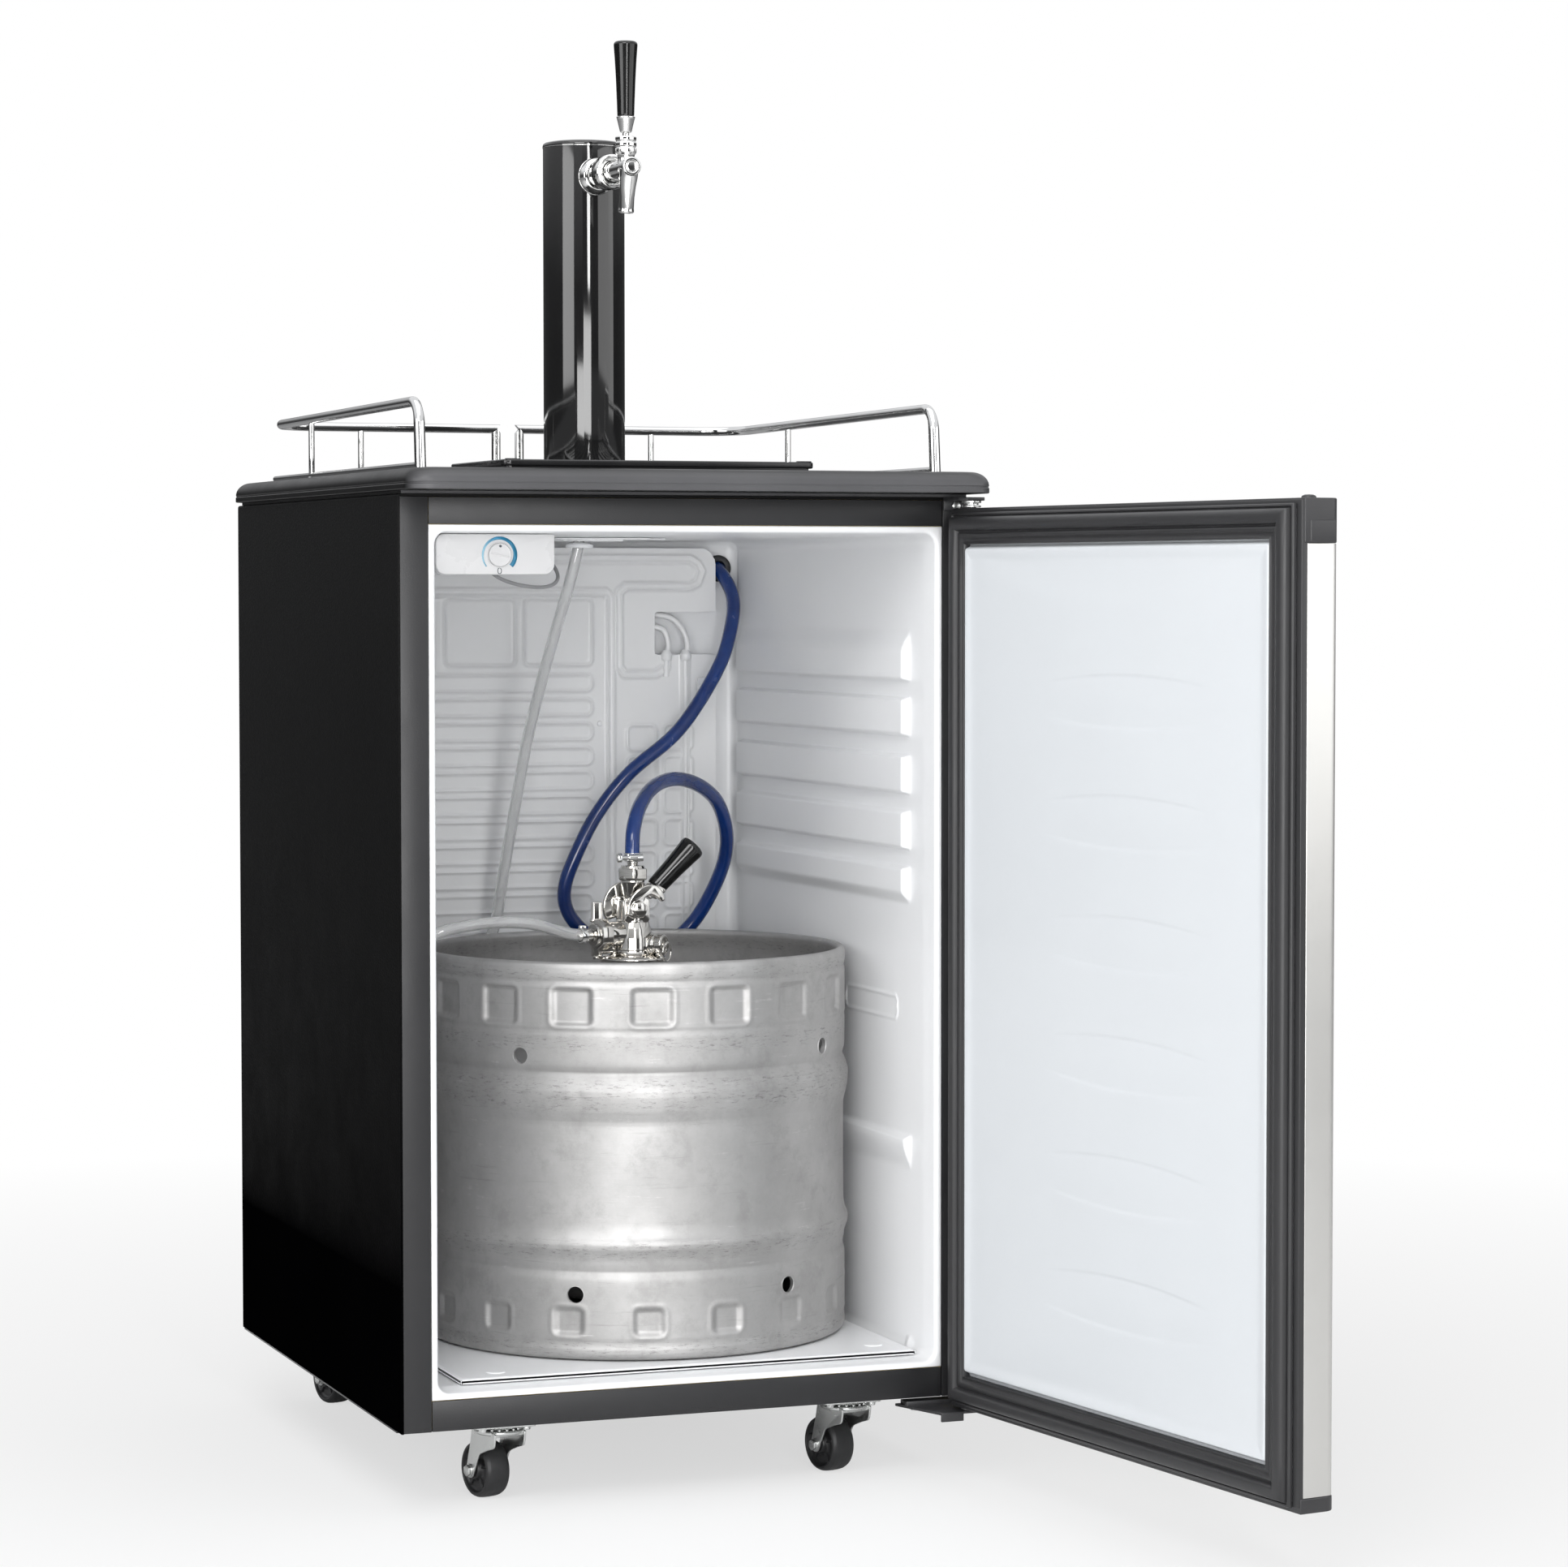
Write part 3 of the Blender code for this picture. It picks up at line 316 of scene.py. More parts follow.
def keg_material():
    """Worn steel: cloudy greys, dark patches and streaks, pale scratches."""
    material, tree, shader = new_material("keg_steel")
    where = coords(tree)
    cloud = noise(tree, where, scale=7, detail=8, rough=0.68)
    patch = noise(tree, where, scale=26, detail=9, rough=0.74)
    fine = noise(tree, where, scale=130, detail=5, rough=0.7)
    streak = noise(tree, coords(tree, (7, 7, 160)), scale=1.6, detail=8, rough=0.72)
    greys = ((0.3, (0.38, 0.375, 0.37)), (0.5, (0.455, 0.45, 0.445)), (0.7, (0.53, 0.525, 0.52)))
    base = ramp(tree, cloud, greys)
    # Mask, its two stops, and the colour laid on through it.
    for mask, stops, colour in (
        (patch, ((0.36, 0.45), (0.48, 0.0)), (0.34, 0.335, 0.33)),
        (streak, ((0.3, 0.5), (0.4, 0.0)), (0.27, 0.265, 0.26)),
        (mix(tree, 0.5, streak, patch), ((0.585, 0.0), (0.66, 0.5)), (0.72, 0.715, 0.71)),
    ):
        base = mix(tree, ramp(tree, mask, stops), base, colour)
    feed(shader, {
        "Base Color": wear_marks(tree, base),
        "Metallic": 0.92,
        "Roughness": ramp(tree, mix(tree, 0.5, patch, cloud), ((0.3, 0.64), (0.65, 0.47))),
    })
    height = mix(tree, 0.4, mix(tree, 0.5, fine, streak), patch)
    bump(tree, shader, height, strength=0.22, distance=0.0012)
    MATERIALS["keg_steel"], SLOTS["keg_steel"] = material, "keg_steel"


sheen_by_height()
feed(parts_of("cover_plastic")[1], {"Specular IOR Level": 0.26})
# Painted light and shade on the cover: forward faces brightened twofold, all other faces darkened to a
# tenth.
paint_light_by_facing("cover_plastic", side=0.1, front=2.0)
fading_scale()
hose_material(
    "blue_hose", colour=(0.004, 0.038, 0.2), dark=(0.002, 0.02, 0.12), roughness=0.2, extra={},
)
hose_material(
    "clear_hose", colour=(0.97, 0.97, 0.97), dark=(0.93, 0.935, 0.935), roughness=0.08,
    extra={"Transmission Weight": 0.78, "IOR": 1.35},
)
keg_material()


# ------------------------------------------------------------------ mesh helpers
def spin_about(centre, angle, axis="Z"):
    there = Matrix.Translation(metres(*centre))
    return there @ Matrix.Rotation(angle, 4, axis) @ there.inverted()


def cleaned(bm, mesh):
    """Writes bm to mesh with doubles merged and its faces turned outward."""
    bmesh.ops.remove_doubles(bm, verts=bm.verts, dist=1e-7)
    bmesh.ops.recalc_face_normals(bm, faces=bm.faces)
    if bm.calc_volume(signed=True) < 0:
        bmesh.ops.reverse_faces(bm, faces=bm.faces)
    bm.to_mesh(mesh)
    bm.free()
    return mesh


def as_mesh(shape):
    """A mesh from a mesh, a bmesh, or a list of either."""
    if isinstance(shape, bmesh.types.BMesh):
        return cleaned(shape, bpy.data.meshes.new("part"))
    return joined(*shape) if isinstance(shape, list) else shape


def joined(*parts):
    """Several closed shapes as one mesh."""
    bm = bmesh.new()
    for part in parts:
        mesh = as_mesh(part)
        bm.from_mesh(mesh)
        bpy.data.meshes.remove(mesh)
    mesh = bpy.data.meshes.new("part")
    bm.to_mesh(mesh)
    bm.free()
    return mesh


def publish(name, shape, material, replaces=None, body="cabinet", sharp=35):
    mesh = as_mesh(shape)
    obj = bpy.data.objects.new(name, mesh)
    bpy.context.scene.collection.objects.link(obj)
    mesh.materials.clear()
    mesh.materials.append(MATERIALS[material])
    mesh.shade_smooth()
    if sharp is not None:
        mesh.set_sharp_from_angle(angle=math.radians(sharp))
    if body == "door":
        mesh.transform(spin_about((HINGE_X, HINGE_Y, 0), DOOR_OPEN))
    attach(obj, body)
    if replaces:
        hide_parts(replaces)
    return obj


def bm_of(points, faces):
    bm = bmesh.new()
    verts = [bm.verts.new(p) for p in put(points)]
    for face in faces:
        bm.faces.new([verts[i] for i in face])
    bmesh.ops.recalc_face_normals(bm, faces=bm.faces)
    return bm


def bevel(bm, width, segments=3, keep=None, angle=30):
    """Rounds the edges sharper than angle, or only those of them that keep() picks."""
    edges = [
        e for e in bm.edges
        if len(e.link_faces) == 2
        and e.calc_face_angle(0) > math.radians(angle)
        and (keep is None or keep(e.verts[0].co, e.verts[1].co))
    ]
    bmesh.ops.bevel(
        bm, geom=edges, offset=width * 0.001, segments=segments, profile=0.5,
        affect="EDGES", clamp_overlap=True,
    )
    return bm


def block(x0, x1, y0, y1, z0, z1, soft=0.6, segments=3):
    points = [(x, y, z) for z in (z0, z1) for y in (y0, y1) for x in (x0, x1)]
    faces = (0, 1, 3, 2), (4, 6, 7, 5), (0, 4, 5, 1), (2, 3, 7, 6), (0, 2, 6, 4), (1, 5, 7, 3)
    bm = bm_of(points, faces)
    return bevel(bm, soft, segments) if soft else bm


def prism(outline, axis, start, end, soft=0.0, segments=2, angle=30):
    """A flat outline carried along an axis; its pairs are the other two axes in x, y, z order."""
    count, slot = len(outline), "xyz".index(axis)
    points = [(*p[:slot], t, *p[slot:]) for t in (start, end) for p in outline]
    faces = [(i, (i + 1) % count, count + (i + 1) % count, count + i) for i in range(count)]
    faces += [tuple(range(count))[::-1], tuple(range(count, 2 * count))]
    bm = bm_of(points, faces)
    return bevel(bm, soft, segments, angle=angle) if soft else bm


def rounded(x0, x1, y0, y1, radius, segments=8):
    """A rectangle's outline with round corners, all alike or counter-clockwise from (x1, y1)."""
    radii = radius if isinstance(radius, tuple) else (radius,) * 4
    outline = []
    for (x, y, start), r in zip(((x1, y1, 0), (x0, y1, 90), (x0, y0, 180), (x1, y0, 270)), radii):
        sign_x, sign_y = (1 if x == x1 else -1), (1 if y == y1 else -1)
        for i in range(segments + 1):
            t = math.radians(start + 90 * i / segments)
            outline.append((x - sign_x * r + r * math.cos(t), y - sign_y * r + r * math.sin(t)))
    return outline


def grid_faces(columns, rows, wrap_columns, wrap_rows):
    a, b = np.meshgrid(
        np.arange(columns if wrap_columns else columns - 1),
        np.arange(rows if wrap_rows else rows - 1),
        indexing="ij",
    )
    next_a, next_b = (a + 1) % columns, (b + 1) % rows
    corners = (a, b), (next_a, b), (next_a, next_b), (a, next_b)
    return np.stack([i * rows + j for i, j in corners], -1).reshape(-1, 4)


def raw_mesh(points, quads, caps=()):
    mesh = bpy.data.meshes.new("part")
    mesh.from_pydata(put(points).tolist(), [], quads.tolist() + list(caps))
    mesh.validate()
    bm = bmesh.new()
    bm.from_mesh(mesh)
    return cleaned(bm, mesh)


def lofted(rings, closed=False):
    """Rings of equal length joined into a body, flat at both ends unless it closes on itself."""
    rings = np.asarray(rings, float)
    rows, columns = rings.shape[:2]
    first = [i * rows for i in range(columns)]
    last = [i * rows + rows - 1 for i in range(columns)]
    caps = () if closed else (first, last[::-1])
    points = rings.transpose(1, 0, 2).reshape(-1, 3)
    return raw_mesh(points, grid_faces(columns, rows, True, closed), caps)


def softened(profile, radius, arc=3, closed=False):
    """A profile whose corners are small arcs."""
    points = [Vector(p) for p in profile]
    count = len(points)
    out = []
    for i, corner in enumerate(points):
        before, after = points[i - 1] - corner, points[(i + 1) % count] - corner
        at_end = not closed and i in (0, count - 1)
        if at_end or before.length < 1e-6 or after.length < 1e-6:
            out.append(tuple(corner))
            continue
        cut = min(radius, before.length * 0.45, after.length * 0.45)
        before, after = before.normalized(), after.normalized()
        if before.dot(after) < -0.995:
            out.append(tuple(corner))
            continue
        start, end = corner + before * cut, corner + after * cut
        for k in range(arc + 1):
            t = k / arc
            out.append(tuple(start * (1 - t) ** 2 + corner * 2 * t * (1 - t) + end * t**2))
    return out


def turned(profile, centre, axis=UP, steps=64, soft=0.0, arc=3, ring=False):
    """A profile of (radius, distance along axis) turned about an axis through centre."""
    if soft:
        profile = softened(profile, soft, arc, ring)
    spin = Vector(UP).rotation_difference(Vector(axis).normalized()).to_matrix()
    bm = bmesh.new()
    rows = []
    for r, h in profile:
        row = []
        for i in range(1 if r <= 1e-6 else steps):
            t = 2 * math.pi * i / steps
            v = spin @ Vector((r * math.cos(t), r * math.sin(t), h)) + Vector(centre)
            row.append(bm.verts.new(metres(*v)))
        rows.append(row)
    for a, b in list(zip(rows, rows[1:])) + ([(rows[-1], rows[0])] if ring else []):
        for i in range(steps):
            j = (i + 1) % steps
            corners = []
            for v in (a[i % len(a)], a[j % len(a)], b[j % len(b)], b[i % len(b)]):
                if v not in corners:
                    corners.append(v)
            if len(corners) > 2:
                bm.faces.new(corners)
    bmesh.ops.recalc_face_normals(bm, faces=bm.faces)
    return bm


def hoop(profile, centre, axis=UP, steps=64, soft=0.0, arc=3):
    """A closed profile turned into a ring."""
    return turned(profile, centre, axis, steps, soft, arc, ring=True)


def rod(start, end, radius, steps=32, soft=0.0):
    along = Vector(end) - Vector(start)
    profile = [(0, 0), (radius, 0), (radius, along.length), (0, along.length)]
    return turned(profile, start, along, steps, soft)


def hexagon(start, end, across, soft=0.5, turn=0.0):
    """A six-sided bar, across wide over its flats."""
    start = Vector(start)
    along = Vector(end) - start
    r = across / math.sqrt(3)
    spin = Vector(UP).rotation_difference(along.normalized()).to_matrix()
    points = []
    for h in (0, along.length):
        for i in range(6):
            t = math.pi * i / 3 + turn
            points.append(tuple(spin @ Vector((r * math.cos(t), r * math.sin(t), h)) + start))
    faces = [(i, (i + 1) % 6, 6 + (i + 1) % 6, 6 + i) for i in range(6)]
    return bevel(bm_of(points, faces + [(5, 4, 3, 2, 1, 0), (6, 7, 8, 9, 10, 11)]), soft, 2)


def smooth_path(points, per_span=14):
    """A Catmull-Rom curve through the points."""
    points = [Vector(p) for p in points]
    points = [2 * points[0] - points[1]] + points + [2 * points[-1] - points[-2]]
    out = []
    for i in range(1, len(points) - 2):
        a, b, c, d = points[i - 1 : i + 3]
        for k in range(per_span):
            t = k / per_span
            square = (2 * a - 5 * b + 4 * c - d) * t * t
            out.append(0.5 * ((2 * b) + (c - a) * t + square + (3 * b - a - 3 * c + d) * t**3))
    out.append(points[-2])
    return out


def relaxed(path, rounds=3):
    for _ in range(rounds):
        inner = [(a + 2 * b + c) / 4 for a, b, c in zip(path, path[1:], path[2:])]
        path = [path[0]] + inner + [path[-1]]
    return path


def bent_path(points, radius, per_bend=10):
    """Straight runs with an arc of the radius, or as much as fits, at each corner."""
    points = [Vector(p) for p in points]
    out = [points[0]]
    for a, b, c in zip(points, points[1:], points[2:]):
        u, v = (a - b).normalized(), (c - b).normalized()
        half = math.acos(max(-1, min(1, u.dot(v)))) / 2
        cut = min(radius / math.tan(half), (a - b).length * 0.49, (c - b).length * 0.49)
        r = cut * math.tan(half)
        middle = b + (u + v).normalized() * (r / math.sin(half))
        start, end = b + u * cut - middle, b + v * cut - middle
        turn = start.angle(end)
        for k in range(per_bend + 1):
            t = k / per_bend
            arm = start * math.sin((1 - t) * turn) + end * math.sin(t * turn)
            out.append(middle + arm / math.sin(turn))
    out.append(points[-1])
    return out


def tube(path, radius, steps=24, inner=0.0):
    """A swept round bar, or a pipe if inner is set. radius may be a function of the share
    of the way along."""
    path = [Vector(p) for p in path]
    last = len(path) - 1
    side = None
    rows, holes = [], []
    for i, p in enumerate(path):
        t = (path[min(i + 1, last)] - path[max(i - 1, 0)]).normalized()
        side = t.orthogonal().normalized() if side is None else (side - t * side.dot(t)).normalized()
        up = t.cross(side)
        r = radius(i / last) if callable(radius) else radius
        angles = [2 * math.pi * k / steps for k in range(steps)]
        circle = [p + (side * math.cos(a) + up * math.sin(a)) * r for a in angles]
        rows.append([tuple(c) for c in circle])
        if inner:
            holes.append([tuple(p + (c - p) * (inner / r)) for c in circle])
    return lofted(rows + holes[::-1], closed=bool(inner))


def boolean(base, others, operation, solver):
    made = [bpy.data.objects.new("boolean_part", mesh) for mesh in (base, *others)]
    for obj in made:
        bpy.context.scene.collection.objects.link(obj)
    for other in made[1:]:
        modifier = made[0].modifiers.new("boolean", "BOOLEAN")
        modifier.operation = operation
        modifier.solver = solver
        modifier.object = other
    bpy.context.view_layer.update()
    evaluated = made[0].evaluated_get(bpy.context.evaluated_depsgraph_get())
    result = bpy.data.meshes.new_from_object(evaluated)
    for obj in made:
        bpy.data.objects.remove(obj)
    return result


def united(shapes):
    """Shapes fused into one closed skin."""
    first, *others = [as_mesh(s) for s in shapes]
    return boolean(first, others, "UNION", "EXACT")


def carved(shape, cutters, solver="MANIFOLD"):
    """shape less the cutters. The other solver steps in if the first leaves nothing."""
    base, cutters = as_mesh(shape), [as_mesh(c) for c in cutters]
    for way in (solver, "MANIFOLD" if solver == "EXACT" else "EXACT"):
        result = boolean(base, cutters, "DIFFERENCE", way)
        if len(result.polygons):
            return result
    raise RuntimeError("nothing was left after a cut")


def ease(x, start, end):
    """Smooth rise from 0 at start to 1 at end."""
    t = np.clip((x - start) / (end - start), 0, 1)
    return t * t * (3 - 2 * t)


def fine_range(low, high, coarse, marks, spread, fine):
    """Sample places from low to high, close together near the marks."""
    out = [low]
    while out[-1] < high:
        x = out[-1]
        near = min(abs(x + fine - m) for m in marks)
        stride = fine if near < spread else min(coarse, max(fine, (near - spread) * 0.6 + fine))
        out.append(min(x + stride, high))
    return np.array(out)


def box_distance(x, z, x0, x1, z0, z1, radius):
    """Signed distance to a rectangle with round corners, negative inside."""
    out_x = np.abs(x - (x0 + x1) / 2) - (x1 - x0) / 2 + radius
    out_z = np.abs(z - (z0 + z1) / 2) - (z1 - z0) / 2 + radius
    corner = np.hypot(np.maximum(out_x, 0), np.maximum(out_z, 0))
    return corner + np.minimum(np.maximum(out_x, out_z), 0) - radius


def path_distance(x, z, points):
    best = np.full(np.broadcast(x, z).shape, 1e9)
    for (ax, az), (bx, bz) in zip(points, points[1:]):
        dx, dz = bx - ax, bz - az
        t = np.clip(((x - ax) * dx + (z - az) * dz) / (dx * dx + dz * dz), 0, 1)
        best = np.minimum(best, np.hypot(x - ax - t * dx, z - az - t * dz))
    return best


def slab(us, vs, front, back, axis="y"):
    """A sheet over the grid us by vs: front(u, v) and back(u, v) place its faces along axis."""
    u, v = np.meshgrid(us, vs, indexing="ij")
    faces = []
    for surface in (front, back):
        at = surface(u, v) + np.zeros_like(u)
        faces.append(np.stack([u, at, v] if axis == "y" else [u, v, at], -1).reshape(-1, 3))
    columns, rows = len(us), len(vs)
    shift = columns * rows
    grid = grid_faces(columns, rows, False, False)
    rim = [i * rows for i in range(columns)]
    rim += [(columns - 1) * rows + j for j in range(1, rows)]
    rim += [i * rows + rows - 1 for i in range(columns - 2, -1, -1)]
    rim = np.array(rim + list(range(rows - 2, 0, -1)))
    following = np.roll(rim, -1)
    sides = np.stack([rim, following, following + shift, rim + shift], -1)
    return raw_mesh(np.concatenate(faces), np.concatenate([grid, grid[:, ::-1] + shift, sides]))


# ------------------------------------------------------------------ cabinet
def cabinet_shell():
    """One sheet wraps the two sides and the top, with small radii along the front edges."""
    inset, thick = 2.2, 2
    outline = [(HALF_WIDTH, 0)]
    for x, start in ((HALF_WIDTH - inset, 0), (-HALF_WIDTH + inset, 90)):
        for i in range(5):
            t = math.radians(start + 90 * i / 4)
            outline.append((x + inset * math.cos(t), HEIGHT - inset + inset * math.sin(t)))
    outline.append((-HALF_WIDTH, 0))
    wall = HALF_WIDTH - thick
    outline += [(-wall, 0), (-wall, 806.8), (wall, 806.8), (wall, 0)]
    origin = metres(0, 0, 0)

    def outer_front(a, b):
        at_front = a.y < origin.y + 1e-5 and b.y < origin.y + 1e-5
        return at_front and min(abs(a.x - origin.x), abs(b.x - origin.x)) > 0.2645

    wrap = bevel(prism(outline, "y", 0, DEPTH), 1.2, 3, outer_front)
    shell = carved(wrap, [rod((0, TOWER_Y, 789), (0, TOWER_Y, 829), 32)], "EXACT")
    publish("cabinet_shell_sheet", [shell], "side_paint", "cabinet_shell", sharp=30)


def cabinet_front():
    """Stiles and rails round the mouth, and the screw heads under the side walls."""
    stiles = []
    for side in (-1, 1):
        a, b = sorted((side * 264.2, side * 238.1))
        stiles.append(block(a, b, 0.02, 2.0, 0.3, 806.6, 0.5, 2))
        a, b = sorted((side * 239.6, side * 238.1))
        stiles.append(block(a, b, 1.0, 16.0, 0.5, 806.4, 0.3, 2))
    publish("cabinet_stiles", stiles, "stile_paint", sharp=30)
    half = 237.5
    upper = [
        block(-half, half, 0.5, 2.6, 783.3, 806.4, 0.5, 2),
        block(-half, half, 2.2, 12, 783.3, 785.2, 0.4, 2),
    ]
    publish("front_rail_upper", upper, "stile_paint", "front_top_rail")
    section = [(0.5, 0.4), (0.5, 26.8), (2.6, 26.8), (2.6, 2.4), (19.6, 2.4), (19.6, 0.4)]
    lower = prism(section, "x", -half, half, 0.5, 2)
    publish("front_rail_lower", lower, "stile_paint", "front_bottom_rail")
    head = [(0, -1.6), (4.2, -1.6), (4.6, -0.4), (0, -0.2)]
    screws = [
        turned(head, (side * 259, y, -1.2), steps=24, soft=0.4)
        for side in (-1, 1) for y in (40, 276, 412, 515)
    ]
    publish("bottom_screws", screws, "zinc")


def worktop():
    """Cover over the cabinet top: a rounded lid with a crease above its lip."""
    def ring(grow, z):
        near, far = 12 + grow * 0.4, 22 + grow * 0.4
        edges = -269 - grow, 269 + grow, -51 - grow, 589 + grow
        points = rounded(*edges, (near, near, far, far), 10)
        # The spacing follows the ungrown outline, so every ring has the same count.
        base = rounded(-269, 269, -51, 589, (12, 12, 22, 22), 10)
        dense = []
        for a, b, c, d in zip(points, points[1:] + points[:1], base, base[1:] + base[:1]):
            count = max(1, int(math.hypot(d[0] - c[0], d[1] - c[1]) / 18))
            for k in range(count):
                x, y = (a[i] + (b[i] - a[i]) * k / count for i in (0, 1))
                dense.append((x, y, z))
        return np.array(dense)

    # Outward growth and height of each ring, from the lip up.
    rows = [
        (-1.0, 811.9), (-0.4, 812.1), (0, 812.6), (0, 816.4),
        (-0.6, 817.2), (-0.6, 817.9), (-0.2, 818.6),
    ]
    for i in range(13):
        t = math.pi / 2 * i / 12
        rows.append((-13.5 * (1 - math.cos(t)) - 0.2, 818.6 + 12.3 * math.sin(t)))
    rows.append((-30, 830.96))
    plug = np.clip(ring(0, 0), (-261.5, 1.5, 0), (261.5, 583, 0))
    under = [plug + np.array([0, 0, z]) for z in (809.25, 811.7)]
    lid = lofted(under + [ring(grow, z) for grow, z in rows])
    lid = carved(lid, [rod((0, TOWER_Y, 800), (0, TOWER_Y, 840), 32)], "EXACT")
    publish("worktop_lid", lid, "cover_plastic", "worktop_cover", sharp=28)


# ------------------------------------------------------------------ liner
def side_relief(y, z):
    """How far the side wall stands into the cabinet."""
    bands = np.zeros_like(z)
    # Bottom and top of each band, then the heights of its lower and upper slopes.
    for z0, z1, rise, above, below in (
        (440.5, 475.5, 13, 0, 2.6), (490, 526.5, 3.6, 0, 2.6), (540.5, 577, 3.6, 0, 2.6),
        (593, 629.5, 3.6, 0, 2.6), (643, 679, 3.6, 13, 10),
    ):
        bands = np.maximum(bands, ease(z, z0, z0 + rise) * (1 - ease(z, z1 - below, z1 + above)))
    ends = ease(y, 54.5, 61.5) * (1 - ease(y, 500, 508))
    top_fade = ease(y + (z - 676), 54.5, 66)
    depth = 7.6 * bands * ends * np.where(z > 676, top_fade, 1)
    # Raised outline in the lower wall, the ledge under it, and a wedge by the floor.
    depth = depth + 1.3 * np.exp(-((box_distance(y, z, 87, 216, 334, 355, 7)) / 1.3) ** 2)
    ledge = ease(z, 196, 224) * (1 - ease(z, 226, 231)) * ease(y, 52, 58) * (1 - ease(y, 300, 420))
    wedge = np.clip(1 - np.abs(y - 56) / 11, 0, 1) * np.clip(1 - (z - 36) / 12, 0, 1)
    swell = 1.0 * np.exp(-(((y - 300) / 160) ** 2 + ((z - 730) / 40) ** 2))
    return depth + 6.5 * ledge + 5.0 * wedge + swell


def liner_rings():
    """Rings round the liner from the back wall forward, over the flange and back outside."""
    r, bottom, top, half, rear = 10.0, 33.6, 775.6, 230.3, 526.0
    marks = [
        440.5, 447, 452, 474, 491.8, 525, 542, 576, 594.8, 628.4,
        644.8, 672, 690, 196, 228, 332, 357, 36, 44,
    ]
    zs = fine_range(bottom + r, top - r, 9, marks, 6, 1.3)
    quarter = [(math.cos(math.radians(a)), math.sin(math.radians(a))) for a in np.linspace(0, 90, 8)]
    xs = np.linspace(-half + r, half - r, 24)
    # x, z and the inward normal's x and z, round from the bottom of the right wall.
    ring = [(half, z, -1, 0) for z in zs]
    ring += [(half - r + r * cos, top - r + r * sin, -cos, -sin) for cos, sin in quarter[1:]]
    ring += [(x, top, 0, -1) for x in xs[::-1][1:]]
    ring += [(-half + r - r * sin, top - r + r * cos, sin, -cos) for cos, sin in quarter[1:]]
    ring += [(-half, z, 1, 0) for z in zs[::-1][1:]]
    ring += [(-half + r - r * cos, bottom + r - r * sin, cos, sin) for cos, sin in quarter[1:]]
    ring += [(x, bottom, 0, 1) for x in xs[1:]]
    ring += [(half - r + r * sin, bottom + r - r * cos, -sin, cos) for cos, sin in quarter[1:-1]]
    x, z, normal_x, normal_z = np.array(ring).T

    def layer(x, y, z):
        return np.stack([x, np.full_like(x, y), z], -1)

    def pushed(inward, y):
        return layer(x + normal_x * inward, y, z + normal_z * inward)

    def shrunk(inset, y):
        across = np.clip(x, -half + inset, half - inset)
        return layer(across, y, np.clip(z, bottom + inset, top - inset))

    def flange(limit, low, high, y):
        # The outer edge has square corners, reached by pushing the ring out along each axis.
        beside, level = np.abs(normal_x) > 0.05, np.abs(normal_z) > 0.05
        out_x = np.where(beside, np.sign(x) * limit, x * (limit / half))
        scaled = low + (z - bottom) * (high - low) / (top - bottom)
        return layer(out_x, y, np.where(level, np.where(normal_z < 0, high, low), scaled))

    # Back wall and its coved edge, then forward along the sides.
    rows = [shrunk(inset, rear) for inset in (40, 26, 16)]
    for a in np.linspace(0, 90, 7):
        t = math.radians(a)
        rows.append(pushed(r * (1 - math.sin(t)), rear - r + r * math.cos(t)))
    y_marks = [56, 58, 60, 85, 89, 214, 218, 502, 506, 20, 50, 66]
    for y in fine_range(4.5, rear - r, 22, y_marks, 5, 1.4)[::-1][1:]:
        depth = np.full_like(z, y)
        inward = side_relief(depth, z) * np.abs(normal_x) ** 4
        ridge = 0.8 * np.exp(-((y - 30) / 9.0) ** 2) * np.abs(normal_z) ** 4 * (z < 60)
        # The mouth is a little wider than the depth of the cabinet.
        rows.append(pushed(inward + ridge - 1.2 * (1 - ease(depth, 4, 30)), y))
    # Rolled edge on to the front flange.
    for a in np.linspace(0, 90, 6)[1:]:
        t = math.radians(a)
        rows.append(pushed(-1.2 - 4.2 * (1 - math.cos(t)), 4.5 - 4.2 * math.sin(t)))
    rows.append(flange(237.0, 28.0, 782.4, 0.3))
    rows += [flange(237.6, 27.5, 782.8, y) for y in (0.8, 2.4)]
    thick = 2.3
    rows += [pushed(-thick, y) for y in (2.4, 260, rear + thick - 6)]
    return rows + [shrunk(inset, rear + thick) for inset in (2, 30)]


def liner():
    holes = [
        rod((0, TOWER_Y, 768), (0, TOWER_Y, 785), 14),
        rod((211, 515, 748), (211, 535, 748), 10),
    ]
    body = carved(lofted(liner_rings()), holes, "EXACT")
    hump = block(-229.6, 229.6, 448, 527, 34, 244, 9, 5)
    publish("liner_moulding", [body, hump], "liner_white", "inner_liner", sharp=60)

    # Seal of tape and foam round the line where it leaves the ceiling.
    def ragged(x0, x1, y0, y1, z, seed):
        rnd = random.Random(seed)
        points = []
        for i in range(48):
            t = 2 * math.pi * i / 48
            swell = 1 + 0.09 * math.sin(5 * t + seed) + 0.05 * rnd.uniform(-1, 1)
            across, along = (
                math.copysign(abs(share) ** 0.6, share) for share in (math.cos(t), math.sin(t))
            )
            x = (x0 + x1) / 2 + (x1 - x0) / 2 * swell * across
            points.append((x, (y0 + y1) / 2 + (y1 - y0) / 2 * swell * along))
        return prism(points, "z", z - 1.6, z, 0.5, 2)

    tape = [ragged(-36, 70, 262, 344, 775.2, 2), ragged(-28, 34, 276, 330, 773.8, 5)]
    tape = carved(tape, [rod((-2, TOWER_Y, 760), (-2, TOWER_Y, 785), 9)], "EXACT")
    publish("ceiling_seal", tape, "liner_white", sharp=50)
    bush = [(7.0, 0), (13, 0), (13, 3), (9, 5), (7.0, 5)]
    publish("line_bush", hoop(bush, (-5, 303.5, 766), steps=40, soft=0.8), "liner_white")


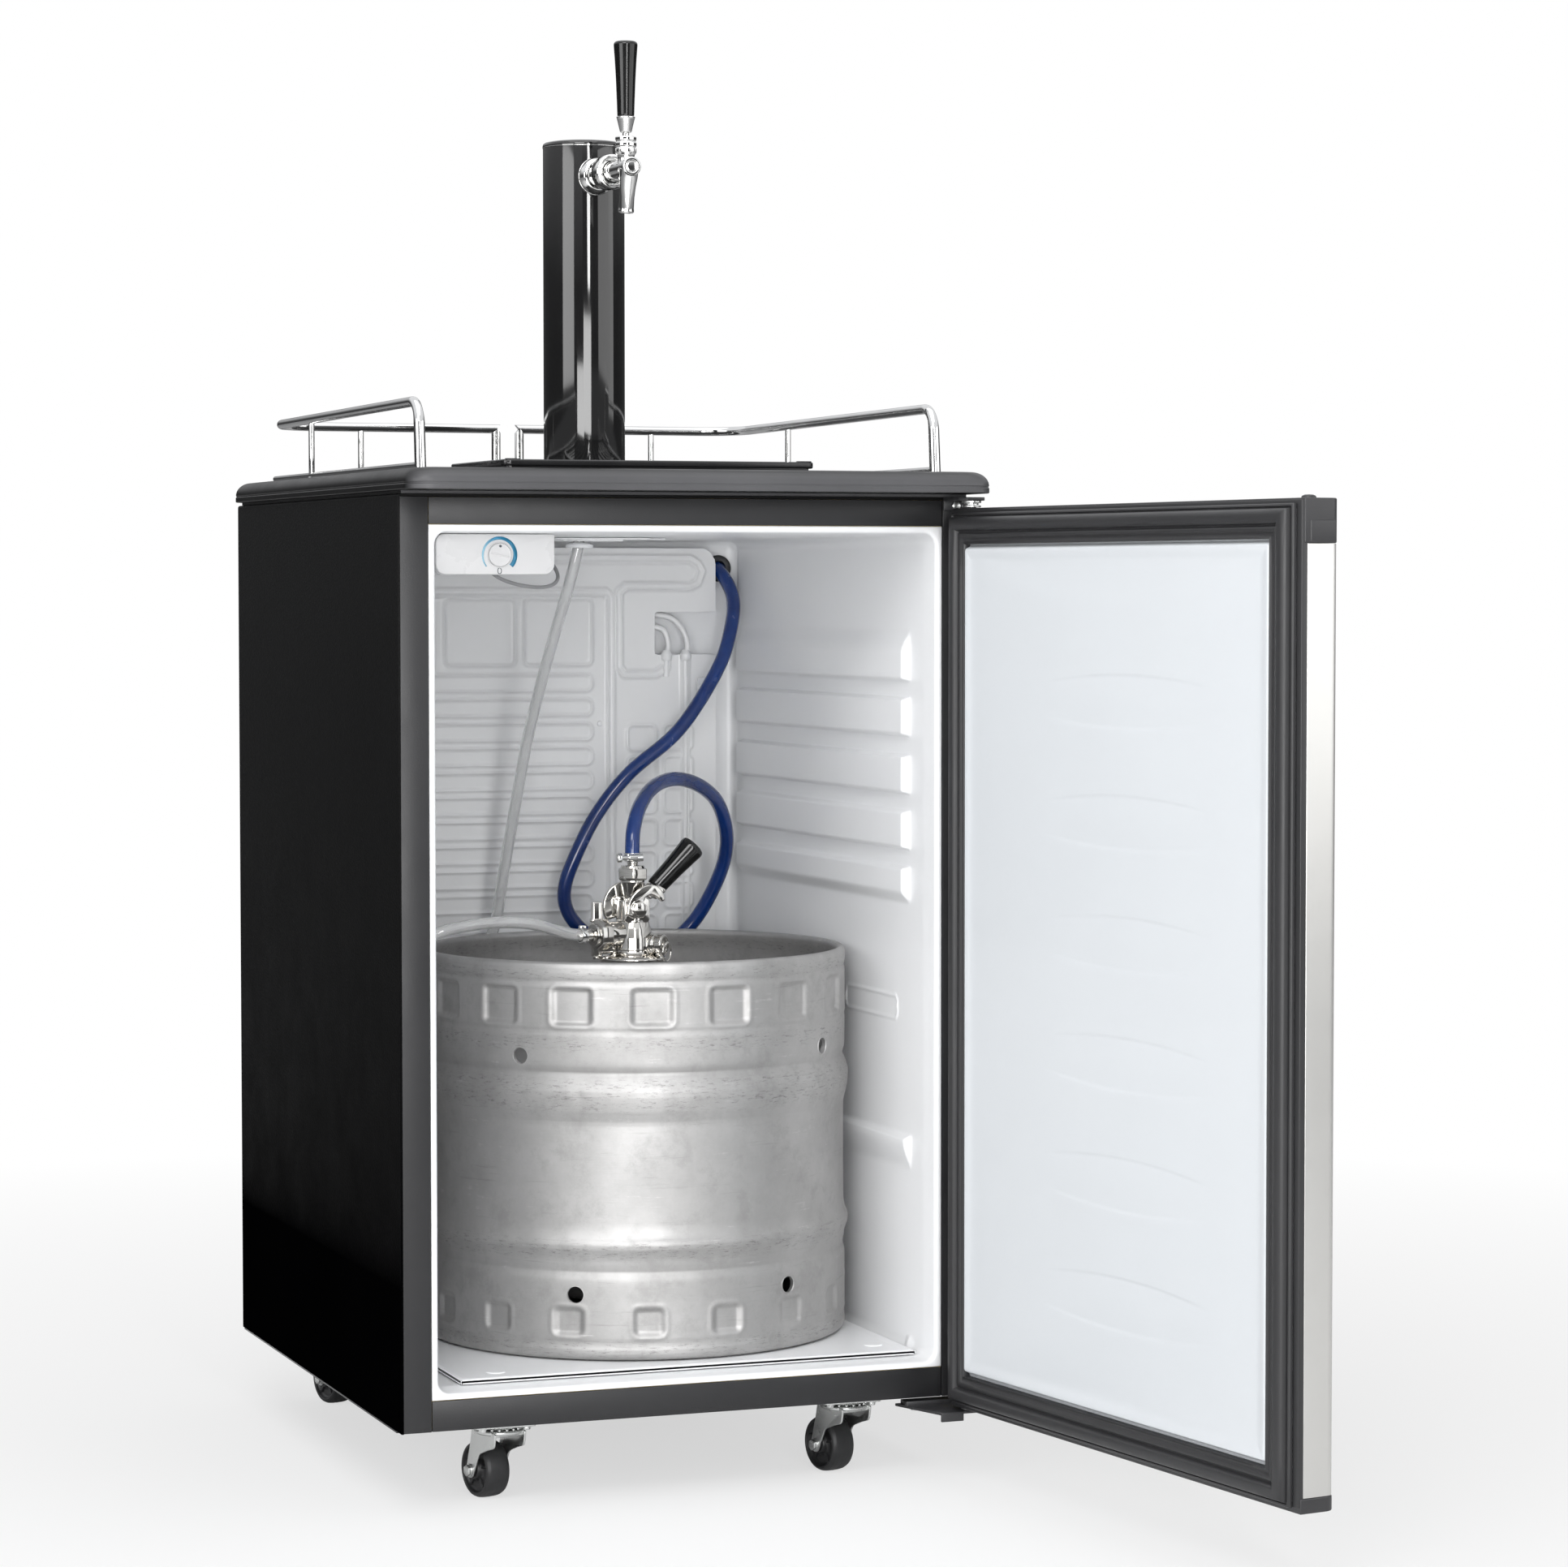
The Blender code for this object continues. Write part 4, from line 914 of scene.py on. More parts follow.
# ------------------------------------------------------------------ evaporator
# Centre lines of the channels pressed in the plate, as (x, z).
CHANNELS = (
    [(-190, 724), (88, 724), (93, 719), (93, 400)],
    [
        (-190, 757), (176, 757), (184, 752), (188, 745), (184, 734), (176, 730), (108, 730),
        (101, 724), (101, 650), (107, 643), (140, 643), (151, 650), (151, 662),
    ],
    [(-190, 386), (66, 386), (72, 392), (72, 396)],
    [(171, 662), (171, 380), (165, 372), (100, 372), (93, 380), (93, 400)],
    [(-196, 365), (193, 365)],
)


def evaporator_sheet():
    # Raised outlines: x0, x1, z0, z1, corner radius.
    pads = [(-78, -6, 652, 717.5, 6), (3, 73.5, 652, 717.5, 6), (-171, -90, 652, 717.5, 6)]
    for i in range(10):
        top = 643 - 24.2 * i
        pads.append((-196, 73.5, top - 16.5, top, 7))
    for x0 in (110, 148):
        pads += [(x0, x0 + 30, 567 - 31.5 * i, 592 - 31.5 * i, 6) for i in range(7)]

    def relief(x, z):
        height = np.zeros_like(x)
        for pad in pads:
            edge = box_distance(x, z, *pad)
            height = np.maximum(height, 2.1 * np.exp(-((edge / 1.7) ** 2)))
        for run in CHANNELS:
            d = path_distance(x, z, run)
            ridge = 2.1 * np.exp(-(((d - 3.4) / 1.6) ** 2)) + 0.6 * np.exp(-((d / 3.4) ** 4))
            height = np.maximum(height, ridge)
        return height

    def wave(x, z):
        return 0.5 * np.sin(x / 70 + z / 110) + 0.3 * np.sin(z / 37)

    sheet = slab(
        np.linspace(-205, 203.5, 400),
        np.linspace(262, 768, 480),
        lambda x, z: 508.2 - relief(x, z) - wave(x, z) * 0.4,
        lambda x, z: 510.2 - relief(x, z) * 0.5 - wave(x, z) * 0.4,
    )
    notch = prism(rounded(139, 215, 662, 704.5, (0.5, 3, 3, 0.5), 5), "y", 500, 530)
    corner = [
        (186, 780), (186, 768.6), (192, 767.6), (198.5, 763.5),
        (202.6, 757), (203.8, 750), (215, 750), (215, 780),
    ]
    sheet = carved(sheet, [notch, prism(corner, "y", 500, 530)])
    publish("evaporator_sheet", sheet, "plate_white", "evaporator_plate", sharp=50)
    posts = [
        rod((x, 509, z), (x, 525.6, z), 5, soft=0.5)
        for x, z in ((-190, 280), (190, 280), (-190, 740), (175, 740))
    ]
    publish("evaporator_standoffs", posts, "liner_white")


def evaporator_lines():
    """Tubes leave the plate through the notch and bend back to the wall."""
    lines = []
    bulb = [(0, -5), (4.6, -5), (5.6, -2), (5.6, 1.5), (3.4, 6), (0, 6)]
    for x, top in ((151, 690), (171, 698)):
        points = [
            (x - 0.5, 506.5, 640), (x, 506.5, 661), (x + 2, 506.8, 672), (x - 2, 508.5, 686),
            (x - 12, 513, top), (x - 28, 519, top + 4), (x - 40, 524.5, top + 2),
        ]
        lines.append(tube(relaxed(smooth_path(points, 10)), 3.0, 16))
        lines.append(turned(bulb, (x, 506.6, 661), steps=24, soft=0.8))
    down = [(171, 506.8, 655), (171, 507.0, 560), (170, 507.0, 470)]
    lines.append(tube(smooth_path(down, 8), 3.1, 14))
    publish("evaporator_lines", lines, "plate_white")
    large, small = ([(0, 0), (3.1, 0), (2.6, 1.4), (0, 1.6)], [(0, 0), (2.8, 0), (2.4, 1.3), (0, 1.5)])
    clip = [
        block(183, 191, 503.5, 507.4, 621, 639, 1.2, 3),
        turned(large, (187, 503.7, 630), FORWARD, 24, soft=0.4),
        turned(small, (81, 507.2, 594), FORWARD, 24, soft=0.4),
    ]
    publish("evaporator_clip", clip, "liner_white")
    # The thin sensing tube of the thermostat hangs in a loop under its housing.
    loop = [
        (-150, 126, 748), (-131, 150, 738), (-105, 175, 731.5), (-76, 200, 729), (-52, 232, 732.5),
        (-42, 255, 742), (-40, 300, 756), (-50, 380, 760), (-66, 475, 758), (-74, 505.5, 746),
    ]
    capillary = tube(relaxed(smooth_path(loop, 10), 4), 1.7, 12)
    publish("thermostat_capillary", capillary, "capillary_grey")


def thermostat():
    dial_x, dial_z = -167, 757
    body = prism(rounded(-224.3, -117, 740, 775.2, (1.2, 8, 9, 9), 8), "y", 25, 125, 1.6, 4)
    body = carved(body, [rod((dial_x, 20, dial_z), (dial_x, 34, dial_z), 3.6)], "EXACT")
    well = [(10.6, 0), (11.4, 0), (11.4, 0.8), (10.6, 0.8)]
    well = hoop(well, (dial_x, 25.1, dial_z), FORWARD, 64, soft=0.2)
    publish("thermostat_cover", [body, well], "housing_white", "thermostat_housing")

    # Blue scale, widest where its sweep begins at the lower right and thinner from there.
    count = 72
    outer, inner = [], []
    for i in range(count + 1):
        a = math.radians(-42 + 262 * i / count)
        narrow = 15.0 - 2.9 * (1 - i / count) ** 0.8
        for edge, r in ((outer, 16.0), (inner, narrow)):
            edge.append((dial_x + r * math.cos(a), dial_z + r * math.sin(a)))
    scale = prism(outer + inner[::-1], "y", 24.75, 25.2)
    publish("thermostat_scale", scale, "dial_blue", sharp=None)
    zero = []
    for i in range(32):
        t = 2 * math.pi * i / 32
        zero.append([
            (dial_x + (1.7 + k) * math.cos(t), y, 743.2 + (2.5 + k) * math.sin(t))
            for k, y in ((0.3, 24.75), (-0.3, 24.75), (-0.3, 25.2), (0.3, 25.2))
        ])
    publish("thermostat_zero", lofted(zero, closed=True), "mark_grey", sharp=None)
    knob = [
        (0, 0), (3.0, 0), (3.0, 7.3), (9.9, 7.5), (10.2, 8.0),
        (10.1, 9.1), (9.5, 9.8), (9.0, 9.6), (0, 9.7),
    ]
    knob = turned(knob, (dial_x, 32, dial_z), FORWARD, 72, soft=0.3)
    tilt = math.radians(-12)
    cos, sin = math.cos(tilt), math.sin(tilt)
    bar = [
        (dial_x + u * cos - v * sin, dial_z + u * sin + v * cos)
        for u, v in rounded(-8.4, 8.4, -0.55, 0.55, 0.5, 4)
    ]
    knob = [knob, prism(bar, "y", 21.5, 22.6, 0.2, 2)]
    body = "thermostat_dial"
    publish("thermostat_dial_knob", knob, "housing_white", "thermostat_knob", body)
    dot = [(0, 0), (1.15, 0), (1.15, 0.3), (0, 0.35)]
    dot = turned(dot, (dial_x, 22.25, 764.6), FORWARD, 20, soft=0.1)
    publish("thermostat_dial_mark", dot, "mark_grey", body=body)


def floor_plate():
    x0, x1, y0, y1 = -205, 222, 24, 438

    def top(x, y):
        edge = -box_distance(x, y, x0, x1, y0, y1, 5)
        return 38.6 + 1.2 * ease(edge, 0.2, 3.0) - 0.4 * ease(edge, 7, 11)

    body = slab(
        fine_range(x0, x1, 8, [-205, 222, -198, 215], 4, 1.0),
        fine_range(y0, y1, 10, [24, 32, 438, 430], 4, 1.0),
        top,
        lambda x, y: 36.6,
        axis="z",
    )
    lips = [
        block(*edges, 35.3, 39.0, 0.6, 2)
        for edges in (
            (x0, x1, 24.0, 26.2), (x0, -202.8, y0, y1), (219.8, x1, y0, y1), (x0, x1, 435.8, y1),
        )
    ]
    pads = [
        turned([(0, 0), (9, 0), (8, 0.9), (0, 1.0)], (x, y, 39.3), steps=40, soft=0.5)
        for x, y in ((-165, 52), (196, 62), (196, 408), (-165, 408))
    ]
    publish("keg_floor_tray", [body, *lips, *pads], "liner_white", "keg_floor_plate", sharp=40)


def hidden_core():
    """The foam inside the walls and door, the pan under the floor and the sheet on the back."""
    for name in ("insulation_foam", "door_foam"):
        materials = frame["nodes"][name].data.materials
        materials.clear()
        materials.append(MATERIALS["foam_tan"])
    pan = [block(-264, 264, 21.2, 584.8, -2.6, -0.4, 0.6, 2)]
    for x in (-110, 0, 110):
        rib = [(x - 16, -2.5), (x - 12, -4.4), (x + 12, -4.4), (x + 16, -2.5)]
        pan.append(prism(rib, "y", 120, 460, 0.8, 2))
    publish("base_pan_sheet", pan, "compressor_black", "base_pan")

    def relief(x, z):
        return 1.6 * (1 - ease(box_distance(x, z, -232, 232, 292, 786, 14), -7, 0))

    rear = slab(
        fine_range(-262.4, 262.4, 10, [-230, 230], 10, 2),
        fine_range(270, 806, 10, [292, 786], 8, 2),
        lambda x, z: 570.2 - relief(x, z),
        lambda x, z: 568.8 - relief(x, z),
    )
    rear = carved(rear, [rod((211, 560, 748), (211, 580, 748), 9.5)])
    publish("rear_sheet", rear, "galvanised", "rear_panel", sharp=40)


# ------------------------------------------------------------------ door
def frame_sweep(profile, half, z0, z1):
    """A profile of (distance in from the outer edge, y) carried round a rectangle with
    mitred corners."""
    rings = []
    for d, y in profile:
        left, right, low, high = -half + d, half - d, z0 + d, z1 - d
        rings.append([(right, y, high), (left, y, high), (left, y, low), (right, y, low)])
    rings = np.array(rings).transpose(1, 0, 2)
    out = []
    for k in range(4):
        a, b = rings[k], rings[(k + 1) % 4]
        count = int(np.linalg.norm(b[0] - a[0]) / 30)
        out += [a + (b - a) * (i / count) for i in range(count)]
    return lofted(out, closed=True)


def door_skin():
    outline = rounded(-264, 264, -48.8, -17.0, (0.6, 0.6, 9, 9), 12)
    inner = rounded(-262.6, 262.6, -47.4, -14.0, (0.2, 0.2, 7.8, 7.8), 12)
    cutters = [prism(inner, "z", 0, 790), block(-262.6, 262.6, -30, -10, 0, 790, 0)]
    skin = carved(prism(outline, "z", 8.0, 762.9, 0.25, 2), cutters, "EXACT")
    publish("door_outer_skin", skin, "silver_skin", "door_skin", "door", sharp=30)


def door_caps():
    plug_x = -250.5

    def cap(name, z0, z1, node, extras, hole_z):
        outline = rounded(-264.4, 264.4, -49.2, -14.0, (1.2, 1.2, 9.4, 9.4), 14)
        shape = [prism(outline, "z", z0, z1, 2.6, 5, angle=60), *extras]
        hole = rod(*((HINGE_X, HINGE_Y, z) for z in hole_z), 4.2)
        shape = carved(shape, [hole], "EXACT")
        publish(name, shape, "cap_black", node, "door", 40)

    # The lower part of the top cap stands out at both ends and in front; a plug sits on top.
    z0, z1 = 763.2, 798.8
    extras = []
    for side in (-1, 1):
        a, b = sorted((side * 262, side * 265.1))
        extras.append(block(a, b, -44, -19, z0 + 0.6, z1 - 17, 2.2, 4))
    extras.append(block(-250, 250, -50.3, -46, z0 + 0.6, z1 - 20, 1.4, 4))
    plug = [(0, 0), (6.2, 0), (5.6, 2.2), (3.5, 3.2), (0, 3.4)]
    extras.append(turned(plug, (plug_x, HINGE_Y, z1 - 0.6), steps=40, soft=0.6))
    cap("door_top_trim", z0, z1, "door_cap_top", extras, (z1 - 13, z1 + 6))
    z0, z1 = -4.6, 7.7
    plug = [(0, 0), (6.2, 0), (5.6, -1.6), (0, -1.8)]
    plug = turned(plug, (plug_x, HINGE_Y, z0 + 0.6), steps=40, soft=0.5)
    cap("door_bottom_trim", z0, z1, "door_cap_bottom", [plug], (z0 - 3, 5.6))


def door_panel():
    """A shallow dished sheet with six lens shapes pressed in it."""
    marks = [634.0 - 101.1 * k + d for k in range(6) for d in (22, 14, -22, -14, 18, -18)]

    def relief(x, z):
        edge = -box_distance(x, z, -231, 231, 30.6, 765.4, 5)
        y = -10.5 + 5.9 * ease(edge, -0.4, 3.2) - 1.3 * ease(edge, 4, 15)
        for k in range(6):
            middle = 633.3 - 101.15 * k
            u = (x + 24) / 128.0
            upper = middle + 22.5 - 9.0 * u**2
            lower = middle - 22.5 + 8.2 * u**2
            fade = 1 - ease(np.abs(u), 0.72, 1.02)
            inside = ease(z, lower - 1.8, lower + 1.8) * (1 - ease(z, upper - 1.8, upper + 1.8))
            # A ridge that falls away gently from each arc.
            y = y - 0.85 * fade * inside * np.clip(np.abs(z - middle) / 22.0, 0, 1) ** 1.5
        top_dish = z - (714.7 + 39.0 * ((x + 2) / 215.0) ** 2)
        y = y - 0.9 * ease(top_dish, -1.0, 14.0) * ease(edge, 4, 16)
        low_dish = (61.0 - 36.0 * ((x - 20) / 215.0) ** 2) - z
        return y - 0.7 * ease(low_dish, -1.0, 14.0) * ease(edge, 4, 16)

    panel = slab(
        fine_range(-231, 231, 5, [-229, 229, -225, 225], 3, 0.9),
        fine_range(30.6, 765.4, 6, [33, 763, 37, 759] + marks, 5, 0.9),
        relief,
        lambda x, z: -13.4,
    )
    backing = block(-257, 257, -13.5, -11.9, 2.2, 792.8, 0.4, 2)
    shape = [panel, backing]
    publish("door_inner_panel", shape, "door_white", "door_liner", "door", sharp=60)


# Gasket section as (distance in from the edge, y): outer lip, two beads and inner flange.
GASKET = [
    (0.0, -11.0), (0.0, -8.6), (0.8, -7.6), (2.2, -7.4), (2.8, -8.8), (3.6, -8.8), (4.2, -4.6),
    (5.2, -2.6), (6.6, -1.6), (8.2, -1.1), (10.5, -0.9), (13.0, -0.9), (14.6, -1.4), (15.6, -2.8),
    (16.0, -4.8), (16.6, -5.9), (17.4, -5.9), (17.9, -4.9), (18.6, -4.2), (20.4, -4.0),
    (22.0, -4.3), (22.8, -5.6), (23.8, -6.2), (25.2, -6.2), (26.6, -5.2), (27.4, -4.4),
    (27.9, -5.0), (27.9, -11.0),
]


def door_seal():
    gasket = frame_sweep(GASKET, 257.2, 0.2, 794.6)
    # Black edge that shows between gasket and skin.
    outer = block(-263.6, 263.6, -17.4, -11.6, 0.4, 797.4, 0.6, 2)
    edge = carved(outer, [block(-256.6, 256.6, -20, -5, 4.8, 790.2, 0)], "EXACT")
    publish("door_seal", [gasket, edge], "gasket", "door_gasket", "door", sharp=50)


def hinges():
    axis = (HINGE_X, HINGE_Y, 0)
    outline = [(238, -0.4), (240, -32), (245, -39.4), (262, -39.4), (264, -33), (264, -0.4)]
    plate = [
        prism(outline, "z", 805.6, 808.6, 0.5, 2),
        block(238, 264, -3.0, -0.6, 797.4, 807.4, 0.5, 2),
    ]
    publish("hinge_top_plate", plate, "cap_black", "hinge_bracket_top")
    pin = [
        (0, 789.2), (3.5, 789.2), (3.5, 799.8), (8.4, 799.8), (8.4, 801.4),
        (6.2, 801.6), (6.2, 803.4), (8.6, 803.6), (8.6, 805.7), (0, 805.7),
    ]
    x = HINGE_X - 5
    bolt = hexagon((x, -3.2, 801.5), (x, -5.4, 801.5), 7.5, 0.5)
    publish("hinge_top_pin", [turned(pin, axis, steps=40, soft=0.3), bolt], "zinc")
    outline = [(200, 18.6), (221, -37.6), (262, -37.6), (263.6, -34), (263.6, 18.6)]
    plate = [
        prism(outline, "z", -9.4, -6.8, 0.6, 2),
        block(205, 263.6, 3.2, 17.8, -8, -3.2, 0.6, 2),
        block(221.4, 243, -39.8, -37.5, -15.3, -6.9, 0.7, 3),
    ]
    publish("hinge_bottom_plate", plate, "cap_black", "hinge_bracket_bottom")
    pin = [(0, -8.6), (8.3, -8.6), (8.3, -5.2), (3.5, -5.0), (3.5, 3.8), (0, 3.8)]
    bolts = [hexagon((x, y, -9.2), (x, y, -12.2), 8, 0.6) for x, y in ((216, 9), (236, 9), (254, 9))]
    publish("hinge_bottom_pin", [turned(pin, axis, steps=40, soft=0.3), *bolts], "zinc")


# ------------------------------------------------------------------ keg
# Outer wall as (z, radius), from the foot to the top rim.
KEG_WALL = (
    (40.7, 193.2), (41.2, 195.0), (43, 196.8), (46, 197.6), (50, 197.7), (53, 197.0), (56, 196.9),
    (60, 197.3), (92, 197.3), (110, 197.4), (113, 197.1), (117, 196.0), (119.5, 195.4),
    (122, 195.9), (126, 196.6), (131, 197.2), (135, 198.6), (140, 200.5), (144, 201.0),
    (147, 200.3), (150, 198.6), (153, 197.6), (156, 197.0), (160, 196.5), (200, 196.4),
    (250, 196.5), (254, 196.9), (258, 198.0), (263, 199.3), (270, 200.4), (276, 201.0),
    (281, 200.9), (286, 199.6), (290, 198.0), (293, 196.9), (295.5, 195.6), (297.5, 195.2),
    (300, 196.2), (303, 197.0), (306, 197.3), (330, 197.4), (333, 196.9), (335, 196.8),
    (338, 197.3), (374, 197.3), (377, 196.4), (379, 196.3), (382, 197.3), (386, 197.9),
    (391, 197.8), (394, 197.0), (395.8, 195.2), (396.1, 193.6),
)
# From the rolled rim down inside the skirt and over the dome to the neck, as (radius, z).
KEG_TOP = (
    (192.4, 395.8), (191.0, 395.0), (190.2, 393.4), (190.0, 391), (191.2, 386), (192.6, 380),
    (193.4, 372), (193.6, 340), (193.6, 312), (191.5, 303), (186, 301.5), (178, 307), (165, 316.5),
    (150, 325.5), (130, 335), (105, 344.5), (80, 352), (55, 357.5), (46, 359.5), (42, 362),
    (38.5, 366), (35.5, 369.2), (30, 369.8), (25, 369.8), (24.9, 351.2),
)
# The dished underside out to the foot rim, as (radius, z).
KEG_UNDER = (
    (6, 72), (50, 73.5), (100, 78), (150, 90), (178, 104),
    (190, 112), (193.4, 104), (193.4, 52), (190.0, 46), (190.4, 42.6),
)
# Holes through the top and bottom skirts, as (degrees round, z).
KEG_HOLES = [(a, 311) for a in (220.8, 312.6, 40.8, 130.8)]
KEG_HOLES += [(236.3 + 60.3 * k, 99) for k in range(6)]


def keg_rings():
    knot_z, knot_r = np.array(KEG_WALL).T
    bottom, top = 40.7, 396.1
    marks = [44, 119, 144, 256, 281, 297, 334, 378, 394, 340, 373, 62, 90]
    # The wall's profile, smoothed.
    fine_z = np.linspace(bottom, top, 1800)
    kernel = np.exp(-np.linspace(-2.2, 2.2, 13) ** 2)
    kernel /= kernel.sum()
    padded = np.pad(np.interp(fine_z, knot_z, knot_r), 6, mode="edge")
    fine_r = np.convolve(padded, kernel, "valid")
    steps = 680
    theta = 2 * math.pi * np.arange(steps) / steps
    degrees = np.degrees(theta)

    def dimples(z, middle, half_width, half_height, phase, depth):
        gap = 360.0 / 17
        off = (degrees - phase + gap / 2) % gap - gap / 2
        s = np.radians(off) * 197
        low, high = middle - half_height, middle + half_height
        d = box_distance(s, np.full_like(s, z), -half_width, half_width, low, high, 6)
        return -depth * ease(-d, -0.6, 4.8) + 0.5 * np.exp(-((d - 1.8) / 2.0) ** 2)

    # Dents as (degrees round, z, size, depth): broad ones in the waist, small ones on the ribs.
    rng = np.random.default_rng(3)
    uniform = rng.uniform
    dents = [
        (uniform(0, 360), uniform(150, 255), uniform(12, 30), uniform(0.15, 0.5))
        for _ in range(26)
    ]
    dents += [
        (uniform(0, 360), rng.choice([278, 144, 390]), uniform(5, 12), uniform(0.2, 0.7))
        for _ in range(40)
    ]

    def ring(r, z):
        r = np.full(steps, r)
        x, y = KEG_X + r * np.cos(theta), KEG_Y + r * np.sin(theta)
        return np.stack([x, y, np.full(steps, z)], -1)

    rings = [ring(r, z) for r, z in KEG_UNDER]
    for z in fine_range(bottom, top, 3.4, marks, 7, 0.95):
        r = np.full(steps, np.interp(z, fine_z, fine_r))
        if 325 < z < 382:
            r = r + dimples(z, 356.5, 19.5, 17.5, phase=214.2, depth=3.0)
        if 48 < z < 98:
            r = r + dimples(z, 75.0, 14.5, 13.0, phase=192.1, depth=2.6)
        for a, dent_z, size, depth in dents:
            if abs(z - dent_z) < size * 2.5:
                off = np.radians((degrees - a + 180) % 360 - 180) * 197
                r = r - depth * np.exp(-((off / size) ** 2) - ((z - dent_z) / size) ** 2)
        r = r + 0.16 * np.sin(theta * 3 + z / 40) + 0.1 * np.sin(theta * 7 - z / 23)
        rings.append(ring(r, z))
    return rings + [ring(r, z) for r, z in KEG_TOP]


def keg():
    holes, lips = [], []
    lip = [(7.4, -0.9), (8.3, -0.7), (8.9, 0.1), (8.5, 0.7), (7.6, 0.8), (7.2, 0.2)]
    for a, z in KEG_HOLES:
        cos, sin = math.cos(math.radians(a)), math.sin(math.radians(a))
        inner, outer, wall = ((KEG_X + r * cos, KEG_Y + r * sin, z) for r in (186, 206, 196.7))
        holes.append(rod(inner, outer, 7.6, 28))
        lips.append(hoop(lip, wall, (cos, sin, 0), 32))
    body = carved(lofted(keg_rings()), holes)
    publish("keg_body", body, "keg_steel", "keg_shell", sharp=40)
    publish("keg_hole_lips", lips, "keg_steel")
    neck = [
        (0, 352), (23.6, 352), (23.6, 370), (33, 370), (33, 375.2),
        (30.4, 378), (9, 378), (9, 360), (0, 360),
    ]
    fitting = [
        turned(neck, KEG_AXIS, steps=96, soft=0.8),
        hoop([(24.6, 369.4), (27.5, 369.4), (27.5, 371.2), (24.6, 371.2)], KEG_AXIS),
    ]
    for k in range(3):
        a = math.radians(30 + 120 * k)
        start, end = (
            (KEG_X + r * math.cos(a), KEG_Y + r * math.sin(a), z)
            for r, z in ((31.5, 371), (34.2, 376))
        )
        fitting.append(rod(start, end, 2.2, 16, soft=0.5))
    publish("keg_neck_fitting", fitting, "nickel", "keg_neck")


# ------------------------------------------------------------------ coupler
# Directions of the hose barb and the relief valve, and the height of the lever's pivot.
BARB = Vector((-0.97, -0.24, 0)).normalized()
RELIEF = Vector((0.72, -0.69, 0)).normalized()
PIVOT_Z = 431.0


def along(direction, length, z):
    return (KEG_X + direction.x * length, KEG_Y + direction.y * length, z)


def coupler_casting():
    x, y = KEG_X, KEG_Y
    body = [
        (7.4, 378.6), (30.6, 378.6), (31, 380), (31, 384.4), (28.6, 386.4), (20.4, 388),
        (18.8, 390), (18.4, 403), (17.6, 408), (16.8, 412.5), (15.2, 417), (13.8, 420),
        (13.6, 437), (12.9, 438.4), (11.7, 438.4), (11.7, 428.5), (7.4, 428.5),
    ]
    bores = [rod((x, y + a, PIVOT_Z), (x, y + b, PIVOT_Z), 4.1) for a, b in ((-24, -6), (6, 24))]
    parts = [carved(hoop(body, KEG_AXIS, steps=72, soft=0.9), bores)]
    for r, z in ((18.5, 391.2), (14.2, 417.4)):
        rib = [(r - 1.6, z), (r + 0.5, z + 0.5), (r + 0.5, z + 2.2), (r - 1.6, z + 2.7)]
        parts.append(hoop(rib, KEG_AXIS, soft=0.4))
    for side in (-1, 1):
        a, b = sorted((y + side * 9, y + side * 13.6))
        cheek = prism(rounded(x - 12.5, x + 12.5, 417, 441, 5, 6), "y", a, b, 0.9, 3)
        bore = rod((x, y + side * 4, PIVOT_Z), (x, y + side * 24, PIVOT_Z), 4.1)
        parts.append(carved(cheek, [bore, rod((x, y, 425), (x, y, 446), 12.0, 64)]))
    parts = [joined(*parts)]
    barb = [
        (0, 0), (6.4, 0), (6.4, 2), (4.3, 2.6), (4.3, 4), (5.0, 4.2), (3.9, 8),
        (5.0, 8.2), (3.9, 12), (5.0, 12.2), (3.4, 16.6), (0, 16.8),
    ]
    parts += [
        # Hose inlet with its nut and barb.
        rod(along(BARB, 13, 407), along(BARB, 29, 407), 11.3, 48, soft=0.8),
        hexagon(along(BARB, 28, 407), along(BARB, 40.5, 407), 25.4, 1.0, 0.3),
        rod(along(BARB, 40, 407), along(BARB, 44, 407), 10.6, 40, soft=0.7),
        turned(barb, along(BARB, 43.5, 407), BARB, 32, soft=0.25),
        # Outlet to the relief valve.
        rod(along(RELIEF, 9, 397), along(RELIEF, 18, 397), 8.6, 36, soft=0.6),
        hexagon(along(RELIEF, 14.4, 397), along(RELIEF, 19.4, 397), 20, 0.8, 0.2),
        # Upright post at the left.
        block(x - 38.8, x - 29.2, y + 0.4, y + 7.6, 385.5, 437, 1.3, 3),
        block(x - 39.8, x - 28.2, y - 0.4, y + 8.4, 418, 421.2, 0.8, 2),
        block(x - 34, x - 12, y - 0.6, y + 8.6, 388.5, 401.5, 2.2, 4),
        turned([(0, 0), (3.6, 0), (3.6, 2.2), (0, 2.4)], (x - 34, y + 4, 383.4), steps=28, soft=0.4),
    ]
    for k in range(3):
        a = math.radians(75 + 120 * k)
        lug_x, lug_y = x + 27 * math.cos(a), y + 27 * math.sin(a)
        lug = lug_x - 3.4, lug_x + 3.4, lug_y - 3.4, lug_y + 3.4
        parts.append(block(*lug, 379.2, 387.2, 1.4, 3))
    publish("coupler_casting", parts, "nickel", "coupler_body", sharp=40)
    band = [(5.9, 0), (7.2, 0), (7.2, 6), (5.9, 6)]
    x, y, _ = along(BARB, 55, 407)
    clip = [
        hoop(band, along(BARB, 52, 407), BARB, 32, soft=0.3),
        block(x - 3, x + 3, y - 3, y + 3, 412.5, 416.5, 0.8, 2),
    ]
    publish("beer_line_clip", clip, "chrome")


